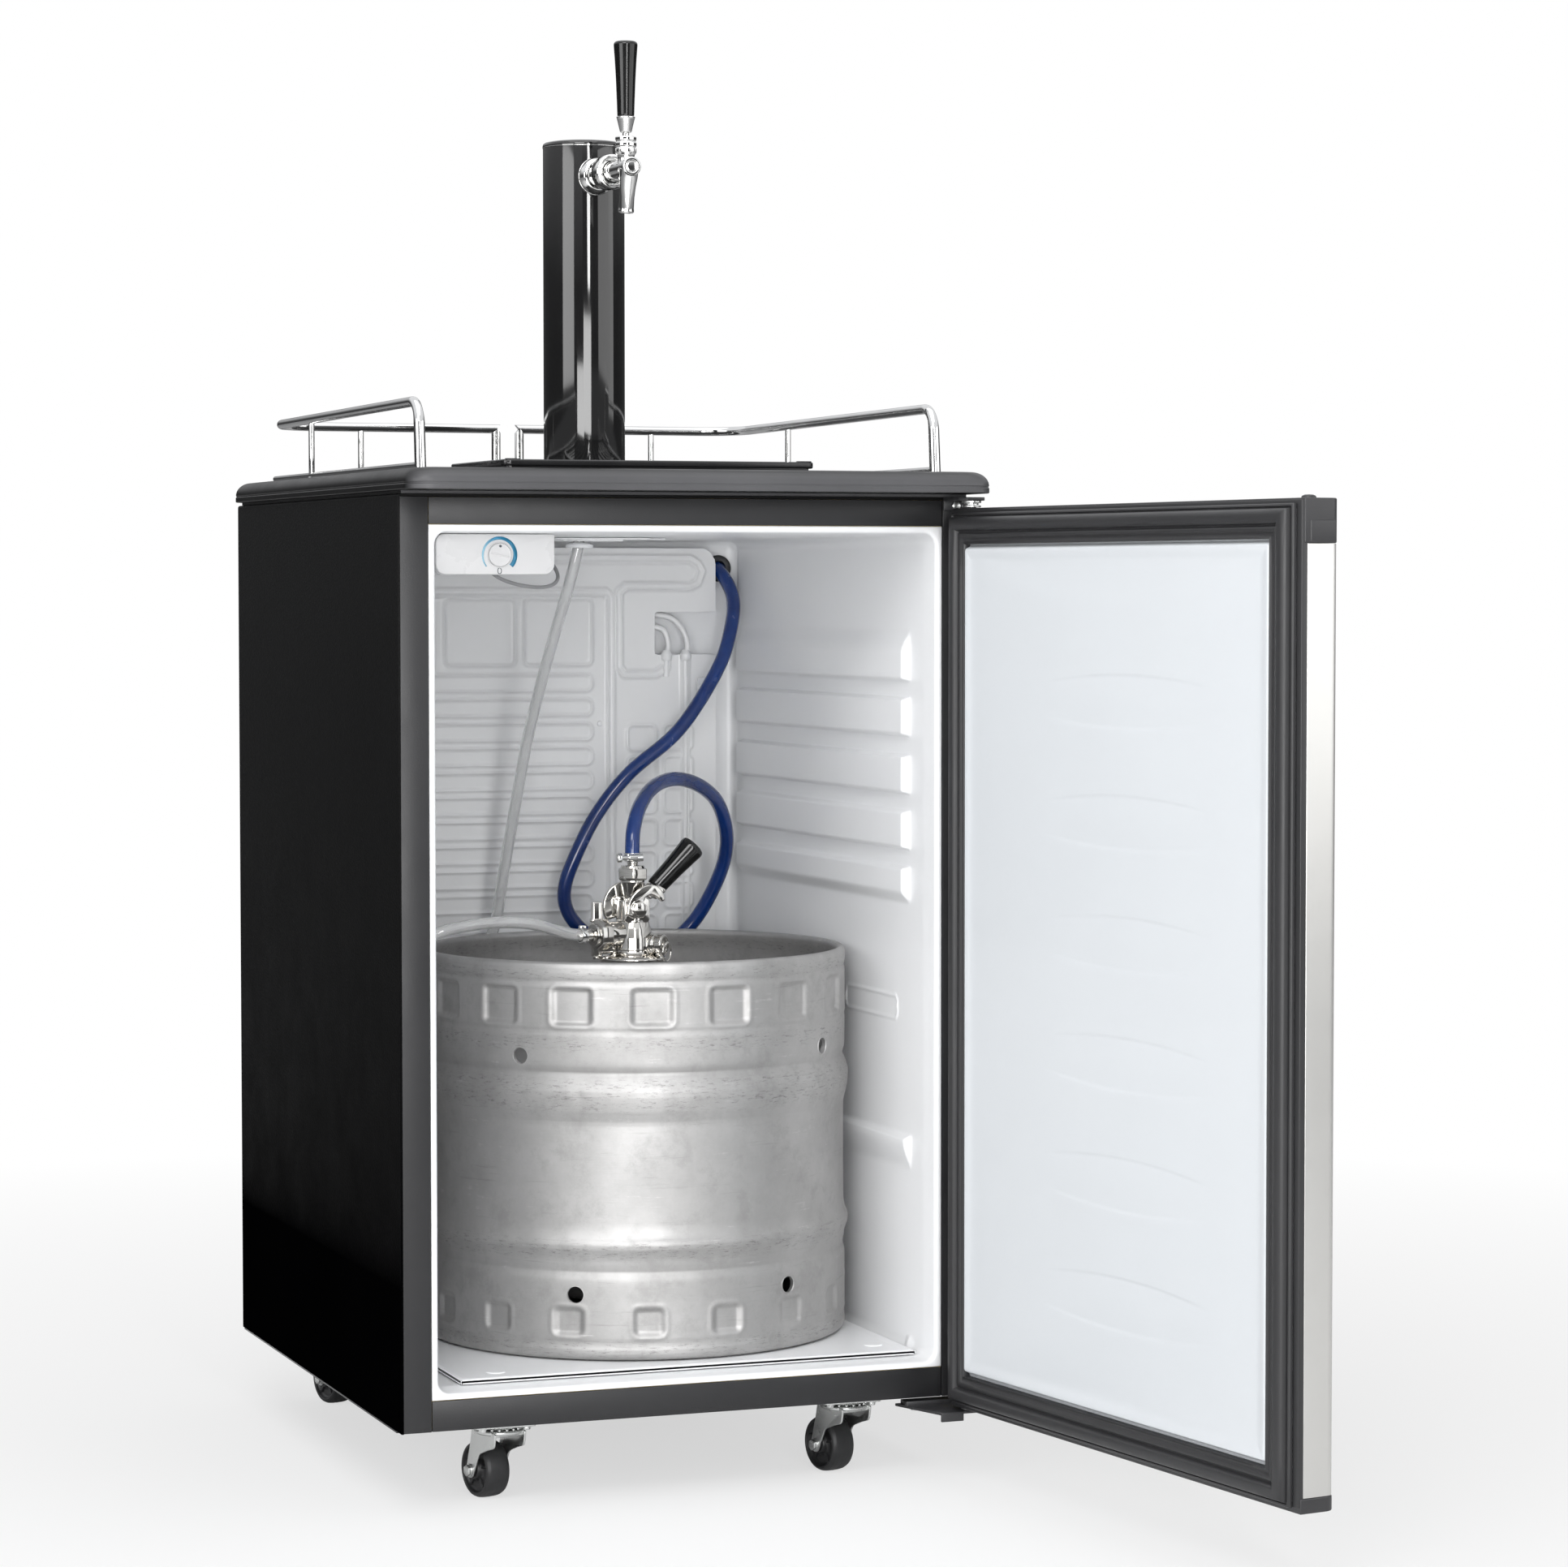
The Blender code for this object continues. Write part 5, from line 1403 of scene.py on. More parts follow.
def relief_valve():
    """Knurled cap, stem and pull ring."""
    cap = [
        (0, 0), (9.6, 0), (10.0, 1), (10.0, 4), (9.0, 5), (9.0, 6.4),
        (10.0, 7.4), (10.0, 12.6), (8.6, 13.8), (6.4, 13.8), (6.0, 12.6), (0, 12.6),
    ]
    stem = [(0, 0), (3.4, 0), (3.4, 4.6), (0, 4.8)]
    valve = [
        turned(cap, along(RELIEF, 19.2, 397), RELIEF, 48, soft=0.4),
        turned(stem, along(RELIEF, 31.4, 397), RELIEF, 28, soft=0.4),
    ]
    up = Vector(UP)
    side = RELIEF.cross(up)
    middle = Vector(along(RELIEF, 35.0, 390.4))
    circle = []
    for i in range(48):
        t = 2 * math.pi * i / 48
        centre = middle + side * (8.8 * math.cos(t)) + up * (8.8 * math.sin(t))
        outward = (centre - middle).normalized()
        circle.append([
            tuple(centre + (outward * math.cos(u) + RELIEF * math.sin(u)) * 0.85)
            for u in [2 * math.pi * k / 12 for k in range(12)]
        ])
    valve.append(lofted(circle, closed=True))
    for k in range(20):
        t = 2 * math.pi * k / 20
        knurl = Vector(along(RELIEF, 29.2, 397))
        knurl = knurl + side * (9.8 * math.cos(t)) + up * (9.8 * math.sin(t))
        valve.append(rod(knurl - RELIEF * 2.2, knurl + RELIEF * 2.2, 0.7, 8))
    publish("coupler_relief_valve", valve, "nickel", "relief_valve", sharp=40)


def coupler_lever():
    """Two crescent arms, a bridge between them and a tapered grip."""
    x, y = KEG_X, KEG_Y

    def curve(*points):
        return smooth_path([(*p, 0) for p in points], 6)

    # Arm outlines as (x, z) from the pivot; the rear arm has a round heel.
    near = curve(
        (-11.4, -6.2), (-9.8, 5.8), (-4.2, 14.1), (5.4, 20.9), (15.2, 21.7), (22.4, 17.1), (25.6, 7.3)
    )
    angles = [math.radians(t) for t in range(212, 80, -6)]
    heel = [Vector((24 * math.cos(t), 24 * math.sin(t), 0)) for t in angles]
    far = heel + curve((8.0, 23.0), (15.2, 21.7), (22.4, 17.1), (25.6, 7.3))
    lower = curve(
        (22.4, 5.8), (16.8, 10.3), (10.4, 11.9), (5.4, 7.3), (6.3, -6.2), (1.5, -8.8), (-6.5, -9.0)
    )
    parts = []
    for side, upper in ((-1, near), (1, far)):
        outline = [(x + p.x, PIVOT_Z + p.y) for p in upper + lower]
        a, b = sorted((y + side * 14.4, y + side * 18.6))
        parts.append(prism(outline, "y", a, b, 1.1, 3, angle=50))
    bridge = [(16.4, 12.8), (14.6, 19.5), (20.5, 21.6), (27.5, 17.2), (26, 13.5)]
    bridge = [(x + dx, PIVOT_Z + dz) for dx, dz in bridge]
    parts.append(prism(bridge, "y", y - 17.4, y + 17.4, 1.6, 3))
    slope = (1, 0, 1)
    socket = [(0, 0), (8.4, 0), (8.6, 5), (7.4, 8.6), (0, 8.8)]
    parts.append(turned(socket, (x + 16.6, y, PIVOT_Z + 12.6), slope, 48, soft=0.8))
    washer = [(0, 0), (8.2, 0), (8.2, 1.2), (0, 1.2)]

    def beside(offset):
        return (x, y + side * offset, PIVOT_Z)

    for side in (-1, 1):
        parts.append(turned(washer, beside(18.6), (0, side, 0), 40, soft=0.3))
        parts.append(hexagon(beside(19.6), beside(24.2), 12.6, 0.9, 0.2))
        parts.append(rod(beside(10.2), beside(19), 3.6, 28))
    publish("coupler_lever_yoke", parts, "nickel", "coupler_handle", "coupler_lever", sharp=40)
    grip = [
        (0, 1.9), (8.2, 1.9), (9.2, 3.6), (9.4, 9), (10.0, 26), (11.2, 44),
        (12.1, 53), (11.5, 56.2), (9.2, 57.4), (0, 57.8),
    ]
    grip = turned(grip, (x + 20.4, y, PIVOT_Z + 16.4), slope, soft=1.4)
    publish("coupler_lever_grip", grip, "handle_black", "coupler_grip", "coupler_lever", sharp=40)


def coupler_stem():
    x, y = KEG_X, KEG_Y
    stem = [
        (0, 374), (6.2, 374), (6.2, 437.6), (7.8, 438.2), (8.1, 439.4), (8.6, 443), (9.9, 449.6),
        (11.2, 455), (11.2, 456.6), (4.7, 456.8), (4.7, 472), (5.3, 472.6), (4.5, 476),
        (5.3, 476.4), (4.1, 480), (0, 480),
    ]
    stem = turned(stem, KEG_AXIS, steps=56, soft=0.35)
    publish("coupler_stem_probe", stem, "nickel", "coupler_probe", "coupler_stem", sharp=40)
    collar = [(5.0, 467.4), (11.6, 467.4), (10.6, 470.4), (5.0, 471)]
    nut = [
        hexagon((x, y, 456.9), (x, y, 467.6), 26.0, 1.0, 0.25),
        hoop(collar, KEG_AXIS, steps=56, soft=0.5),
    ]
    publish("coupler_stem_nut", nut, "nickel", "coupler_nut", "coupler_stem", sharp=40)
    # Worm clamp on the hose end.
    band = [(7.0, 474), (7.9, 474), (7.9, 482), (7.0, 482)]
    clamp = [
        hoop(band, KEG_AXIS, steps=56, soft=0.25),
        rod((x - 7, y - 9.4, 478), (x + 7, y - 9.4, 478), 3.3, 28, soft=0.6),
        hexagon((x - 18, y - 8.6, 478), (x - 13.5, y - 8.6, 478), 7.6, 0.5),
        rod((x - 14, y - 8.8, 478), (x - 5, y - 9.2, 478), 2.1, 20),
        block(x - 8, x + 8, y - 9.6, y - 6.4, 474.4, 481.6, 0.8, 2),
    ]
    publish("gas_line_clamp", clamp, "chrome", None, "coupler_stem", 40)


# ------------------------------------------------------------------ hoses
# From the rear wall, down behind the keg and up over it to the coupler's stem.
GAS_PATH = (
    (211, 558, 748), (211, 540, 748), (211, 520, 747), (216.5, 492, 719), (207, 476, 683),
    (189, 464, 646), (145, 452, 588), (93, 446, 549), (58, 446, 508), (37, 448, 468),
    (26.4, 452, 436), (30, 454, 412), (48, 455, 391), (74, 456, 377), (104, 456, 372),
    (136, 455, 379), (162, 450, 402), (181, 434, 446), (182, 415, 482), (166, 392, 516),
    (140, 364, 535), (110, 338, 545), (82, 313, 545), (58, 287, 537), (40, 264, 522),
    (29.5, 248, 505), (26.2, 242, 490), (26, 241, 474),
)
# From the tap's shank down the tower, behind the keg and round its left to the barb.
BEER_PATH = (
    (0, 291, 1088), (0, 296, 1060), (0, 303, 1000), (0, 303, 830), (-5.5, 303.6, 773),
    (-13, 312, 730), (-21, 345, 670), (-28, 390, 592), (-33, 420, 520), (-39, 445, 445),
    (-44, 456, 398), (-62, 459, 368), (-100, 449, 351), (-140, 425, 346), (-178, 375, 351),
    (-203, 318, 366), (-210, 262, 383), (-203, 226, 399), (-184, 208, 411), (-158, 204, 419),
    (-120, 208.4, 423), (-84, 215, 421), (-60, 220.5, 415), (-42, 224.5, 409.5),
    (-25.5, 228.3, 407.2),
)


def hoses():
    gas = tube(relaxed(smooth_path(GAS_PATH, 9), 5), 6.9, 28)
    hose = publish("gas_hose", gas, "blue_hose", sharp=60)
    # This hose runs between two bodies, so it is left free of both instead of riding on one.
    hose.parent = None
    del hose["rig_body"]
    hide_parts("gas_line")
    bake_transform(hose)
    beer = tube(relaxed(smooth_path(BEER_PATH, 9), 4), 5.5, 28, inner=3.9)
    publish("beer_hose", beer, "clear_hose", "beer_line", sharp=60)
    sleeve = [
        (7.4, 0), (9.3, 0), (9.3, 11.0), (12.6, 11.0), (13.5, 12.2), (13.2, 14.6),
        (11, 15.2), (7.4, 15.0),
    ]
    sleeve = hoop(sleeve, (211, 534.6, 748), FORWARD, 48, soft=0.7)
    publish("gas_hose_grommet", sleeve, "wheel_black", "hose_grommet")


# ------------------------------------------------------------------ tower and tap
def tower():
    wall = [(36.1, 831.6), (38.1, 831.6), (38.1, 1139.0), (36.1, 1139.0)]
    column = hoop(wall, TOWER_AXIS, steps=160, soft=0.35)
    column = carved(column, [rod((0, 248, TAP_Z), (0, 290, TAP_Z), 12.4, 48)])
    publish("tower_tube", column, "gloss_black", "tower_column", sharp=40)
    cap = [
        (0, 1132), (35.4, 1132), (35.4, 1139.6), (38.45, 1139.6), (38.45, 1141.0),
        (37.8, 1142.8), (36.2, 1143.9), (33.0, 1144.4), (0, 1144.6),
    ]
    cap = turned(cap, TOWER_AXIS, steps=160, soft=0.5, arc=4)
    publish("tower_lid", cap, "gloss_black", "tower_cap", sharp=50)
    seam = [(37.2, 1139.05), (38.5, 1139.05), (38.5, 1139.55), (37.2, 1139.55)]
    seam = hoop(seam, TOWER_AXIS, steps=160, soft=0.12, arc=2)
    publish("tower_lid_seam", seam, "chrome", sharp=50)
    foot = [(38.5, 831.4), (49.2, 831.4), (49.2, 833.6), (46.4, 836.6), (40, 837.9), (38.5, 837.9)]
    foot = hoop(foot, TOWER_AXIS, steps=128, soft=0.7)
    publish("tower_foot", foot, "gloss_black", "tower_flange", sharp=45)
    head = [(0, 0), (3.2, 0), (3.2, 0.7), (1.9, 1.9), (0, 2.1)]
    heads = []
    for k in range(4):
        t = math.radians(45 + 90 * k)
        centre = (43.8 * math.cos(t), TOWER_Y + 43.8 * math.sin(t), 835.6)
        heads.append(turned(head, centre, steps=28, soft=0.3))
    publish("tower_foot_screws", heads, "cap_black", sharp=40)


def tap_shank():
    shank = [
        (4.2, 0), (8, 0), (8, 9.6), (10.6, 10), (10.6, 29.4), (17.1, 29.4), (17.3, 33.5),
        (16.6, 36.2), (14.9, 38.8), (13.2, 39.8), (10.2, 39.9), (10.2, 74.2), (4.2, 74.2),
    ]
    washer = [(10.7, 0), (17.4, 0), (17.4, 2.2), (10.7, 2.2)]
    parts = [
        hoop(shank, (0, 294, TAP_Z), FORWARD, 96, soft=0.5),
        hoop(washer, (0, 266.6, TAP_Z), FORWARD, 96, soft=0.4),
        rod((0, 288, TAP_Z - 4), (0, 291.5, 1092), 4.3, 32, soft=0.5),
        hexagon((0, 271, TAP_Z), (0, 276, TAP_Z), 24, 0.8),
    ]
    thread, pitch = [(10.0, -0.55), (11.0, 0), (10.0, 0.55)], 1.45
    parts += [hoop(thread, (0, 252.6 - pitch * k, TAP_Z), FORWARD) for k in range(14)]
    publish("tap_shank", parts, "chrome", "faucet_shank", sharp=40)
    ring = [
        (11.3, 0), (15.4, 0), (16.2, 1.0), (16.2, 12.2), (15.6, 13.4), (15.6, 14.2), (16.1, 15.0),
        (15.9, 16.6), (14.6, 17.9), (12.6, 18.2), (10.4, 17.4), (10.0, 16.2), (10.2, 14.8),
        (11.3, 14.6),
    ]
    cuts = []
    for k in range(6):
        t = math.radians(60 * k + 22)
        start, end = ((r * math.cos(t), 221.8, TAP_Z + r * math.sin(t)) for r in (12.4, 19))
        cuts.append(rod(start, end, 2.5, 24))
    ring = carved(hoop(ring, (0, 232, TAP_Z), FORWARD, 112, soft=0.5), cuts)
    publish("tap_coupling_ring", ring, "chrome", "coupling_nut", sharp=40)


# The tap's turned parts, as (radius, distance along the axis).
TAP_BARREL = [
    (0, 0.2), (4.3, 0.2), (4.9, 0.9), (5.2, 0.9), (5.9, 0.0), (7.8, 0.0), (8.8, 1.2), (8.8, 4.6),
    (8.1, 5.8), (8.2, 9), (8.5, 22), (8.8, 38), (9.5, 49), (9.6, 57.0), (10.7, 57.4),
    (10.7, 59.0), (0, 59.2),
]
TAP_POST = [
    (0, TAP_Z + 1), (8.0, TAP_Z + 1), (7.6, 1118.6), (8.1, 1121.6), (9.5, 1123.4), (9.7, 1124.4),
    (9.7, 1127.2), (9.0, 1128.0), (9.0, 1128.8), (9.7, 1129.6), (9.7, 1132.4), (8.8, 1133.5),
    (8.8, 1134.1), (9.55, 1134.8), (9.65, 1137.4), (9.0, 1138.2), (7.2, 1138.5), (0, 1138.5),
]
TAP_SPOUT = [
    (0, 0), (8.6, 0), (8.3, 8), (7.2, 17), (6.7, 26), (6.9, 36), (7.25, 38.4), (7.25, 39.6),
    (6.7, 40.1), (0, 40.1),
]
SPOUT_AXIS = (0, 9.6, -38.8)


def tap_body():
    def socket():
        cone = [
            (0, TAP_Z + 2.3), (6.2, TAP_Z + 2.3), (6.2, 1134), (8.7, 1138.9), (0, 1138.9),
        ]
        return turned(cone, TAP_AXIS, steps=40)

    def spout_bore():
        return rod((0, 172.2, 1094), (0, 180.6, 1060), 5.5, 48)

    flutes = []
    for k in range(12):
        t = math.radians(30 * k + 9)
        x, y = 11.1 * math.cos(t), TAP_Y + 11.1 * math.sin(t)
        flutes.append(rod((x, y, 1123.0), (x, y, 1128.2), 1.9, 20))
    web = [
        (163, 1104), (166, 1092), (172, 1083), (179, 1084),
        (188, 1098), (196, 1103), (196, 1109), (163, 1109),
    ]
    spout = turned(TAP_SPOUT, (0, 168.6, TAP_Z - 1.2), SPOUT_AXIS, 80, soft=0.5)
    whole = united([
        turned(TAP_BARREL, (0, 160, TAP_Z), BACK, 96, soft=0.4),
        carved(turned(TAP_POST, TAP_AXIS, steps=96, soft=0.3), flutes + [socket()]),
        carved(spout, [spout_bore()]),
        prism(web, "x", -3.4, 3.4, 2.6, 4),
    ])
    # The barrel's bore, two slots behind the lever's stem, its socket and the spout's bore.
    cutters = [
        rod((0, 165, TAP_Z), (0, 245, TAP_Z), 5.9, 48),
        block(-3.7, 3.7, TAP_Y + 1.3, TAP_Y + 11, TAP_Z + 1.7, 1117.6, 0),
        block(-2.7, 2.7, TAP_Y + 1.7, TAP_Y + 7.2, 1116.8, 1121.2, 0),
        socket(),
        spout_bore(),
    ]
    publish("tap_body", carved(whole, cutters, "EXACT"), "chrome", "faucet_body", sharp=40)
    # A black disc set inside the spout's bore: painted shade for the dark depth of the hole.
    plug = [(0, 0), (5.45, 0), (5.45, 3), (0, 3)]
    plug = turned(plug, (0, 175.4, 1081.3), SPOUT_AXIS, 40, soft=0.3)
    publish("tap_spout_shade_disc", plug, "handle_black", sharp=40)
    rim = [(5.5, 0), (6.5, 0), (6.5, 0.8), (5.5, 0.8)]
    rim = hoop(rim, (0, 178.0, 1070.3), SPOUT_AXIS, 64, soft=0.2, arc=2)
    publish("tap_spout_rim", rim, "chrome", sharp=40)


def tap_lever():
    pivot = (0, TAP_Y, 1130)
    stem = [
        (0, -13.4), (1.2, -13.4), (1.5, -5), (3.6, -3.4), (5.6, -1.3), (5.6, 1.1), (4.3, 3.1),
        (3.0, 4.2), (3.0, 11.6), (5.2, 12.3), (5.5, 13.3), (8.1, 24.4), (8.45, 25.2),
        (8.45, 26.2), (0, 26.2),
    ]
    stem = turned(stem, pivot, steps=96, soft=0.35)
    publish("tap_lever_stem", stem, "chrome", "faucet_lever", "tap_lever", sharp=40)
    grip = [
        (0, 26.5), (7.6, 26.5), (7.75, 29), (8.1, 40), (8.9, 60), (9.9, 78), (10.8, 90),
        (10.9, 91.6), (10.2, 93.3), (8.8, 94.2), (0, 94.5),
    ]
    grip = turned(grip, pivot, steps=128, soft=0.9, arc=5)
    publish("tap_grip", grip, "handle_black", "tap_handle", "tap_lever", sharp=55)
    shuttle = [
        (0, -9), (5.2, -9), (5.2, -4.4), (2.1, -4.2), (2.1, 4.2), (5.2, 4.4), (5.2, 7.4),
        (2.6, 8.8), (2.6, 26), (5.3, 27.8), (5.3, 32), (0, 32),
    ]
    shuttle = turned(shuttle, (0, TAP_Y, TAP_Z), BACK, 48, soft=0.3)
    publish("tap_shuttle", shuttle, "nickel", "faucet_plunger", "tap_plunger", sharp=40)


# ------------------------------------------------------------------ tray, rails and casters
def tray():
    z = 831.4
    rim = prism(rounded(-147, 147, 80, 250, 8, 10), "z", z + 4.6, z + 10.4, 1.4, 4)
    pan = prism(rounded(-143.5, 143.5, 83.5, 246.5, 6, 10), "z", z, z + 6, 1.0, 3)
    hollows = [
        prism(rounded(-139.4, 139.4, 87.6, 242.4, 5, 8), "z", z + 5.6, z + 14),
        prism(rounded(-134, 134, 93, 237, 8, 8), "z", z + 1.8, z + 8),
    ]
    body = carved(united([rim, pan]), hollows, "EXACT")
    publish("drip_tray_pan", body, "tray_black", "drip_tray", "tray")
    tabs = [
        block(x - 6.5, x + 6.5, 80.6, 86.6, z + 9.9, z + 11.2, 0.5, 2) for x in (-137, 137)
    ]
    publish("drip_tray_tabs", tabs, "cap_black", body="tray")
    plate = prism(rounded(-138.6, 138.6, 88.4, 241.6, 4, 8), "z", z + 6.0, z + 8.4, 0.5, 2)
    slots = []
    for i in range(14):
        x = -128 + 18.5 * i
        for y0, y1 in ((98, 162), (168, 232)):
            slots.append(prism(rounded(x, x + 9, y0, y1, 4.4, 6), "z", z + 4, z + 11))
    publish("drip_tray_grate", carved(plate, slots), "tray_black", "drip_grate", "grate")


def rails():
    foot, rear, top = 831.6, 551, 886
    circle = [2 * math.pi * k / 40 for k in range(40)]
    circle = [(4.4 * math.cos(t), 4.4 * math.sin(t)) for t in circle]
    collar = [(2.7, 0), (3.7, 0), (2.9, 1.4), (2.7, 1.4)]
    for name, side in (("left", -1), ("right", 1)):
        outer, inner = side * 239, side * 12.0
        front = [(outer, 20, foot), (outer, 25, 889.4), (outer, rear, top)]
        front = bent_path(front, 21, 16)
        corner = bent_path([front[-2], (outer, rear, top), (inner, rear, top)], 44, 20)
        bar = tube(front[:-1] + corner[1:], lambda share: 5.0 - 0.6 * min(share * 6, 1), 40)
        # The inner end turns down through a sharp mitre.
        leg = lofted([
            [(inner + dx, rear + dy, top + dx * side) for dx, dy in circle],
            [(inner + dx, rear + dy, foot) for dx, dy in circle],
        ])
        elbow = lofted([
            [(inner + side * 4.4, rear + dy, top + dz) for dz, dy in circle],
            [(inner - side * dz, rear + dy, top + dz) for dz, dy in circle],
        ])
        low_z = foot + 2.6
        low = bent_path([(outer, 20.2, low_z), (outer, rear, low_z), (inner, rear, low_z)], 16, 14)
        posts = ((outer, 396), (side * 150, rear))
        parts = [bar, leg, elbow, tube(low, 2.7, 24)]
        parts += [rod((*post, foot), (*post, 883), 2.8, 32, soft=0.2) for post in posts]
        parts += [hoop(collar, (*post, foot), steps=32, soft=0.25, arc=2) for post in posts]
        node = f"guard_rail_{name}"
        publish(f"{node}_bar", parts, "rail_chrome", node, sharp=50)


def caster_mount(label, x, y):
    spots = [(x + dx, y + dy, dx) for dx in (-20, 20) for dy in (-16, 16)]
    plate = prism(rounded(x - 28, x + 28, y - 23, y + 23, 5, 8), "z", -6.0, -3.3, 0.6, 3)
    plate = carved(plate, [
        prism(rounded(a - 4.2, a + 4.2, b - 2.4, b + 2.4, 2.3, 6), "z", -9, 0)
        for a, b, _ in spots
    ])
    heads = []
    for a, b, dx in spots:
        heads.append(hexagon((a, b, -6.2), (a, b, -9.6), 6.6, 0.6, 0.4 * dx))
        washer = [(0, 0), (4.6, 0), (4.6, 0.8), (0, 0.8)]
        heads.append(turned(washer, (a, b, -7.0), steps=28, soft=0.2))
    dome = [(0, -9.3), (15.2, -9.3), (17.6, -8.6), (18.6, -6.6), (16, -5.9), (0, -5.9)]
    dome = turned(dome, (x, y, 0), steps=56, soft=0.5)
    stem = rod((x, y, -14.4), (x, y, -6), 6, 32)
    node = f"caster_plate_{label}"
    publish(f"caster_{label}_mount", [plate, dome, stem, *heads], "zinc", node)


def caster_yoke(label, x, y, axle_y, axle_z, swivel):
    # Cheek outline as (y, z).
    cheek = [
        (y - 20, -10.2), (y + 20, -10.2), (y + 21.2, -16), (y + 23, -24), (y + 29.4, axle_z + 4),
        (y + 30.6, axle_z - 1), (y + 28.6, axle_z - 5.4), (y + 24, axle_z - 7.2),
        (y + 19.4, axle_z - 5.4), (y + 16.4, axle_z), (y + 8, -33), (y - 6, -27.5),
        (y - 17.5, -24),
    ]
    cheek = softened(cheek, 3.4, 5, True)
    race = [
        (6.7, -9.5), (21.0, -9.5), (22.0, -10.4), (22.0, -12.2), (20.4, -13.6),
        (16.2, -14.2), (15.2, -15.6), (6.7, -15.6),
    ]
    crown = [
        (x - 16.2, -10.0), (x + 16.2, -10.0), (x + 16.2, -13.0),
        (x + 14.0, -15.0), (x - 14.0, -15.0), (x - 16.2, -13.0),
    ]
    crown = prism(crown, "y", y - 17, y + 17, 0.8, 3)

    def on_axle(offset):
        return (x + offset, axle_y, axle_z)

    left_washer = [(0, 0), (5.8, 0), (5.8, 0.9), (0, 0.9)]
    axle_end = [(0, 0), (2.4, 0), (2.4, 3.4), (0, 3.8)]
    right_washer = [(0, 0), (5.4, 0), (5.4, 0.9), (0, 0.9)]
    parts = [
        hoop(race, (x, y, 0), soft=0.5),
        carved(crown, [rod((x, y, -18), (x, y, -5), 7.0, 40)]),
        prism(cheek, "x", x - 16.2, x - 14.2, 0.6, 3),
        prism(cheek, "x", x + 14.2, x + 16.2, 0.6, 3),
        rod(on_axle(-16.3), on_axle(16.3), 3.2, 28),
        hexagon(on_axle(-16.4), on_axle(-20.0), 9.2, 0.8),
        turned(left_washer, on_axle(-16.3), (-1, 0, 0), 32, soft=0.25),
        hexagon(on_axle(16.4), on_axle(19.6), 8.6, 0.7, 0.4),
        turned(axle_end, on_axle(17), (1, 0, 0), 24, soft=0.4),
        turned(right_washer, on_axle(16.3), (1, 0, 0), 32, soft=0.25),
    ]
    ball = [(0, -1.5), (0.9, -1.2), (1.45, -0.5), (1.45, 0.5), (0.9, 1.2), (0, 1.5)]
    for k in range(18):
        t = 2 * math.pi * k / 18
        parts.append(turned(ball, (x + 19 * math.cos(t), y + 19 * math.sin(t), -8.6), steps=10))
    fork = joined(*parts)
    fork.transform(swivel)
    publish(f"caster_{label}_yoke", fork, "zinc", f"caster_fork_{label}", f"swivel_{label}")


# Left half of the wheel's section as (radius, distance from its middle); the right mirrors it.
WHEEL = [
    (4.0, -12.8), (8.0, -12.8), (8.6, -11.6), (9.4, -8.6), (12, -7.6), (17.4, -7.8),
    (19.4, -9.4), (20.2, -11.6), (21.6, -11.9), (23.4, -10.8), (24.6, -8.2), (25.0, -4.4),
]


def caster_tyre(label, x, axle_y, axle_z, swivel):
    hub = (x, axle_y, axle_z)
    section = WHEEL + [(r, -offset) for r, offset in WHEEL[::-1]]
    seam = [(24.7, -0.35), (25.12, -0.2), (25.12, 0.2), (24.7, 0.35)]
    parts = [
        hoop(section, hub, (1, 0, 0), 96, soft=0.5, arc=2),
        hoop(seam, hub, (1, 0, 0), 96),
    ]
    edges = x - 9.6, x + 9.6, axle_y - 1.2, axle_y + 1.2, axle_z + 8.4, axle_z + 20.2
    for k in range(5):
        rib = as_mesh(block(*edges, 0.5, 2))
        rib.transform(spin_about(hub, 2 * math.pi * k / 5, "X"))
        parts.append(rib)
    tyre = joined(*parts)
    tyre.transform(swivel)
    node, body = f"caster_wheel_{label}", f"roll_{label}"
    publish(f"caster_{label}_tyre", tyre, "wheel_black", node, body, sharp=40)


def casters():
    places = {
        "front_left": (-163, 49), "front_right": (163, 49),
        "rear_left": (-176, 527), "rear_right": (176, 527),
    }
    for label, (x, y) in places.items():
        swivel = spin_about((x, y, 0), math.radians(14))
        axle_y, axle_z = y + 24, -49.5
        caster_mount(label, x, y)
        caster_yoke(label, x, y, axle_y, axle_z, swivel)
        caster_tyre(label, x, axle_y, axle_z, swivel)


